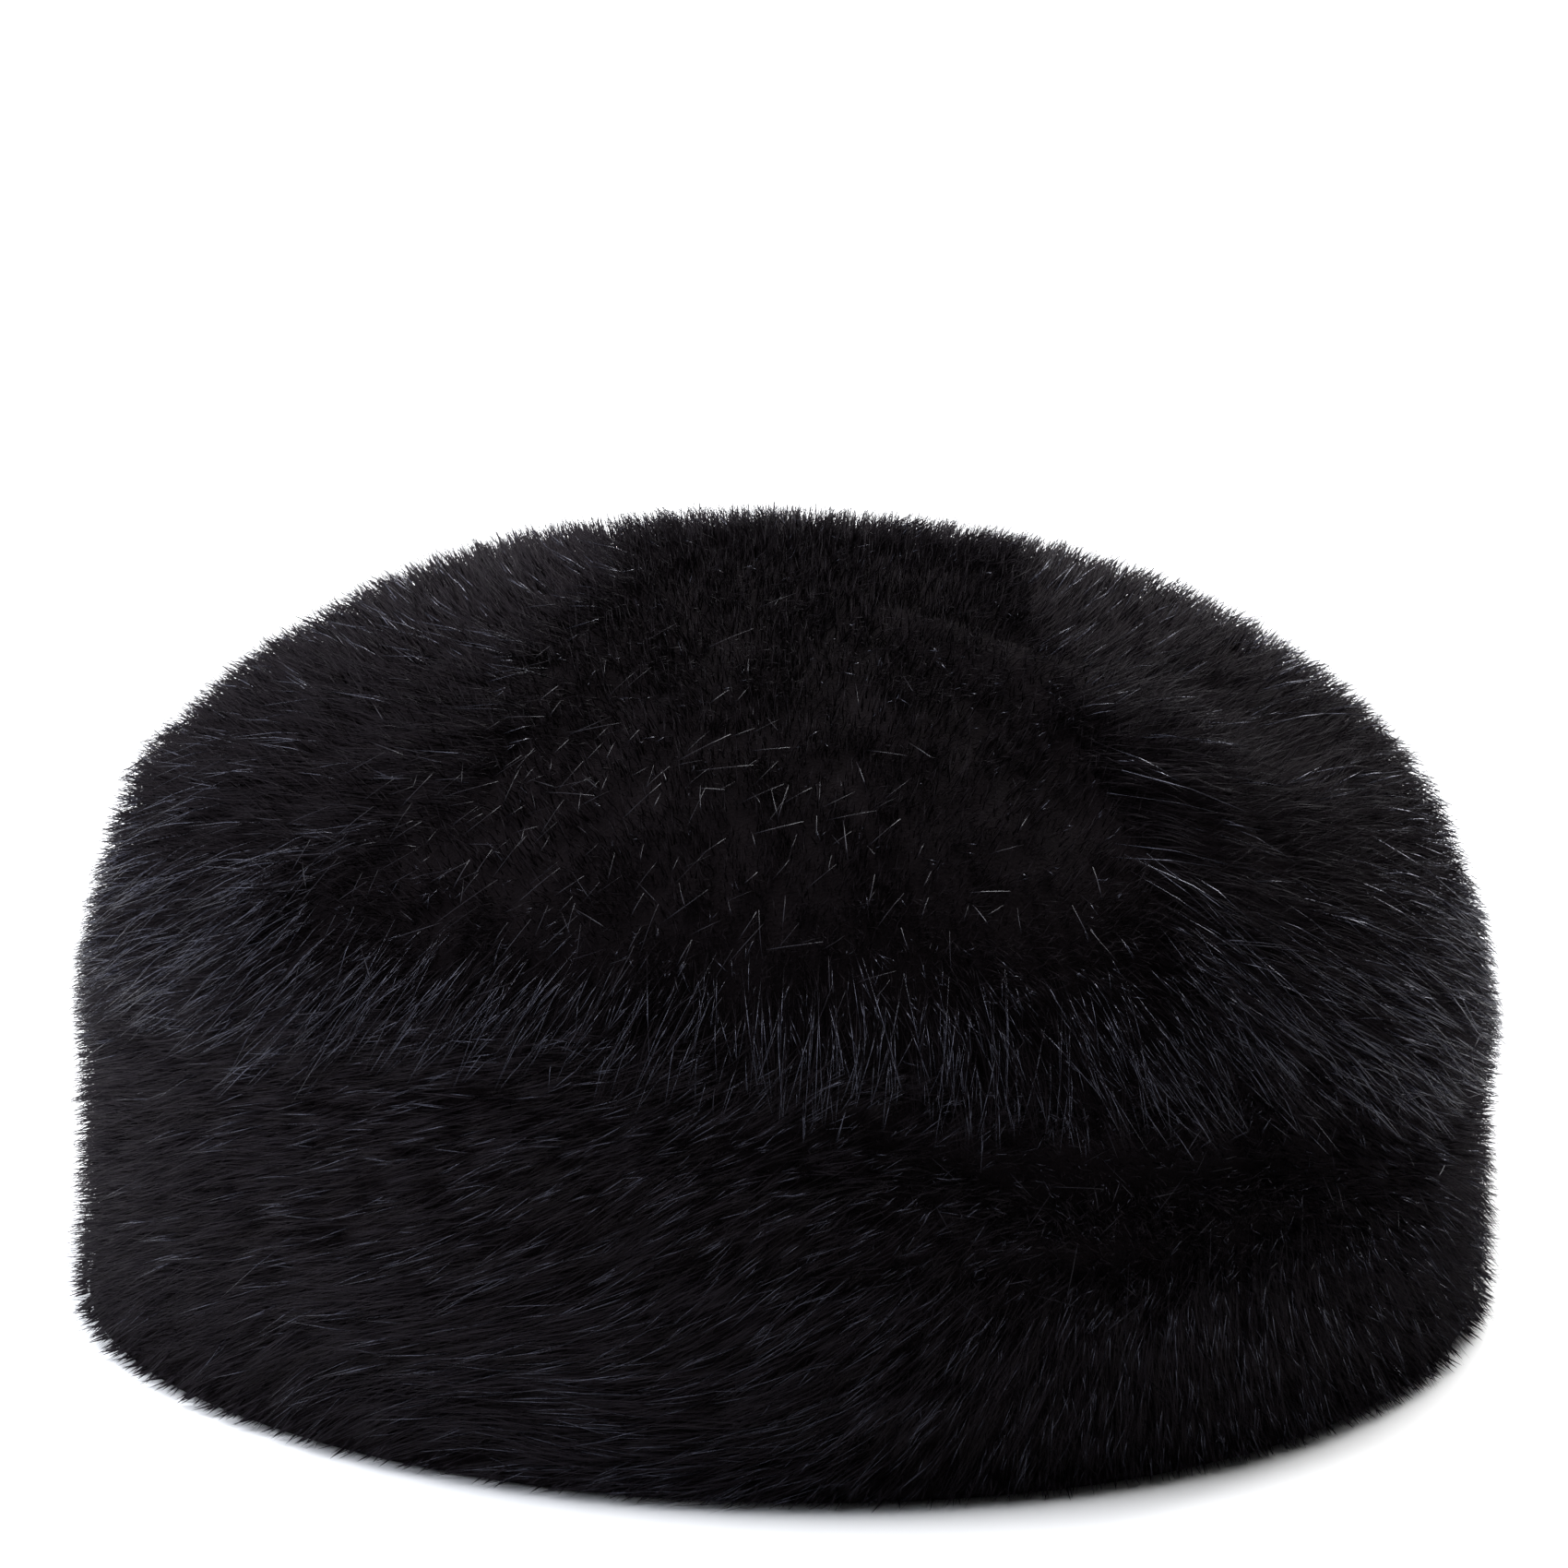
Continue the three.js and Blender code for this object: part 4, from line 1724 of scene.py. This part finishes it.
# Paler than the crown's coat: painted light that lifts the shade on the band. Its roots are also
# painted a shade lighter than its tips, painted light that lifts the shade deep in the pile.
BAND_DULL_COAT_PAINTED_PALER = Coat(
    ModacrylicPile("band_guard_hair", root="#1d191c", tip="#1c181b", roughness=0.5, specular=0.048),
    (
        Pile(
            "band_guard_hair",
            Region.BAND,
            hairs=17500,
            per_tuft=6,
            rings=2,
            seed=22,
            tuft_turn=5.0,
            hair_turn=5.0,
        ),
        Pile(
            "band_standing_tips",
            Region.BAND,
            hairs=8000,
            per_tuft=1,
            rings=1,
            seed=25,
            lowest_fall=1.98,
            **STANDING,
        ),
        Pile(
            "hem_tips",
            Region.BAND,
            hairs=2300,
            per_tuft=1,
            rings=1,
            seed=26,
            trials=60,
            root_depth=2.5 * MM,
            tip_depth=-0.2 * MM,
            tip_scatter=0.6 * MM,
            hair_radius=0.4 * MM,
            tuft_turn=12.0,
            lean_kept=0.35,
            lean_more=22.0,
            hem_cut=0.1 * MM,
            hem_cut_scatter=0.6 * MM,
            favour_height=0.4 * MM,
            favour_rise=2 * MM,
            least_kept=0.6,
            least_root=1.6 * MM,
        ),
    ),
)
# Its roots are painted a shade lighter than its tips: painted light that lifts the shade deep in the
# pile.
UNDER_COAT = Coat(
    ModacrylicPile("underfur_hair", root="#171315", tip="#151113", roughness=0.6, specular=0.03),
    (
        Pile("crown_underfur", Region.CROWN, hairs=44000, per_tuft=5, rings=1, seed=13, **UNDER),
    ),
)
# Paler than the crown's underfur: painted light that lifts the shade on the band. Its roots are also
# painted a shade lighter than its tips, painted light that lifts the shade deep in the pile.
BAND_UNDER_COAT_PAINTED_PALER = Coat(
    ModacrylicPile(
        "band_underfur_hair", root="#252123", tip="#232021", roughness=0.6, specular=0.035
    ),
    (
        Pile("band_underfur", Region.BAND, hairs=34000, per_tuft=5, rings=1, seed=23, **UNDER),
    ),
)


@dataclass
class FurHat:
    """The whole hat: two pelts and their coats, of which the band's are painted a little paler to
    lift the shade on the band.
    """

    form: FurForm = FurForm()
    nap: Nap = Nap()
    pelts: tuple[Pelt, ...] = (Pelt("crown_pelt", Region.CROWN), Pelt("band_pelt", Region.BAND))
    coats: tuple[Coat, ...] = (
        GLOSSY_COAT,
        STRAY_COAT,
        DULL_COAT,
        BAND_DULL_COAT_PAINTED_PALER,
        UNDER_COAT,
        BAND_UNDER_COAT_PAINTED_PALER,
    )

    def build(self) -> None:
        """Makes every piece."""
        cloth = KnitBacking().build()
        ground = DenseUnderfur().build()
        for pelt in self.pelts:
            pelt.build(self.form, [ground, cloth])
        for coat in self.coats:
            finish = coat.finish.build()
            for layer in coat.layers:
                layer.build(self.form, self.nap, finish)


def main() -> None:
    """Loads the frame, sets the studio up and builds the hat."""
    logging.basicConfig(level=logging.INFO, format="%(name)s: %(message)s")
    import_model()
    Studio().build()
    FurHat().build()


if __name__ == "__main__":
    main()
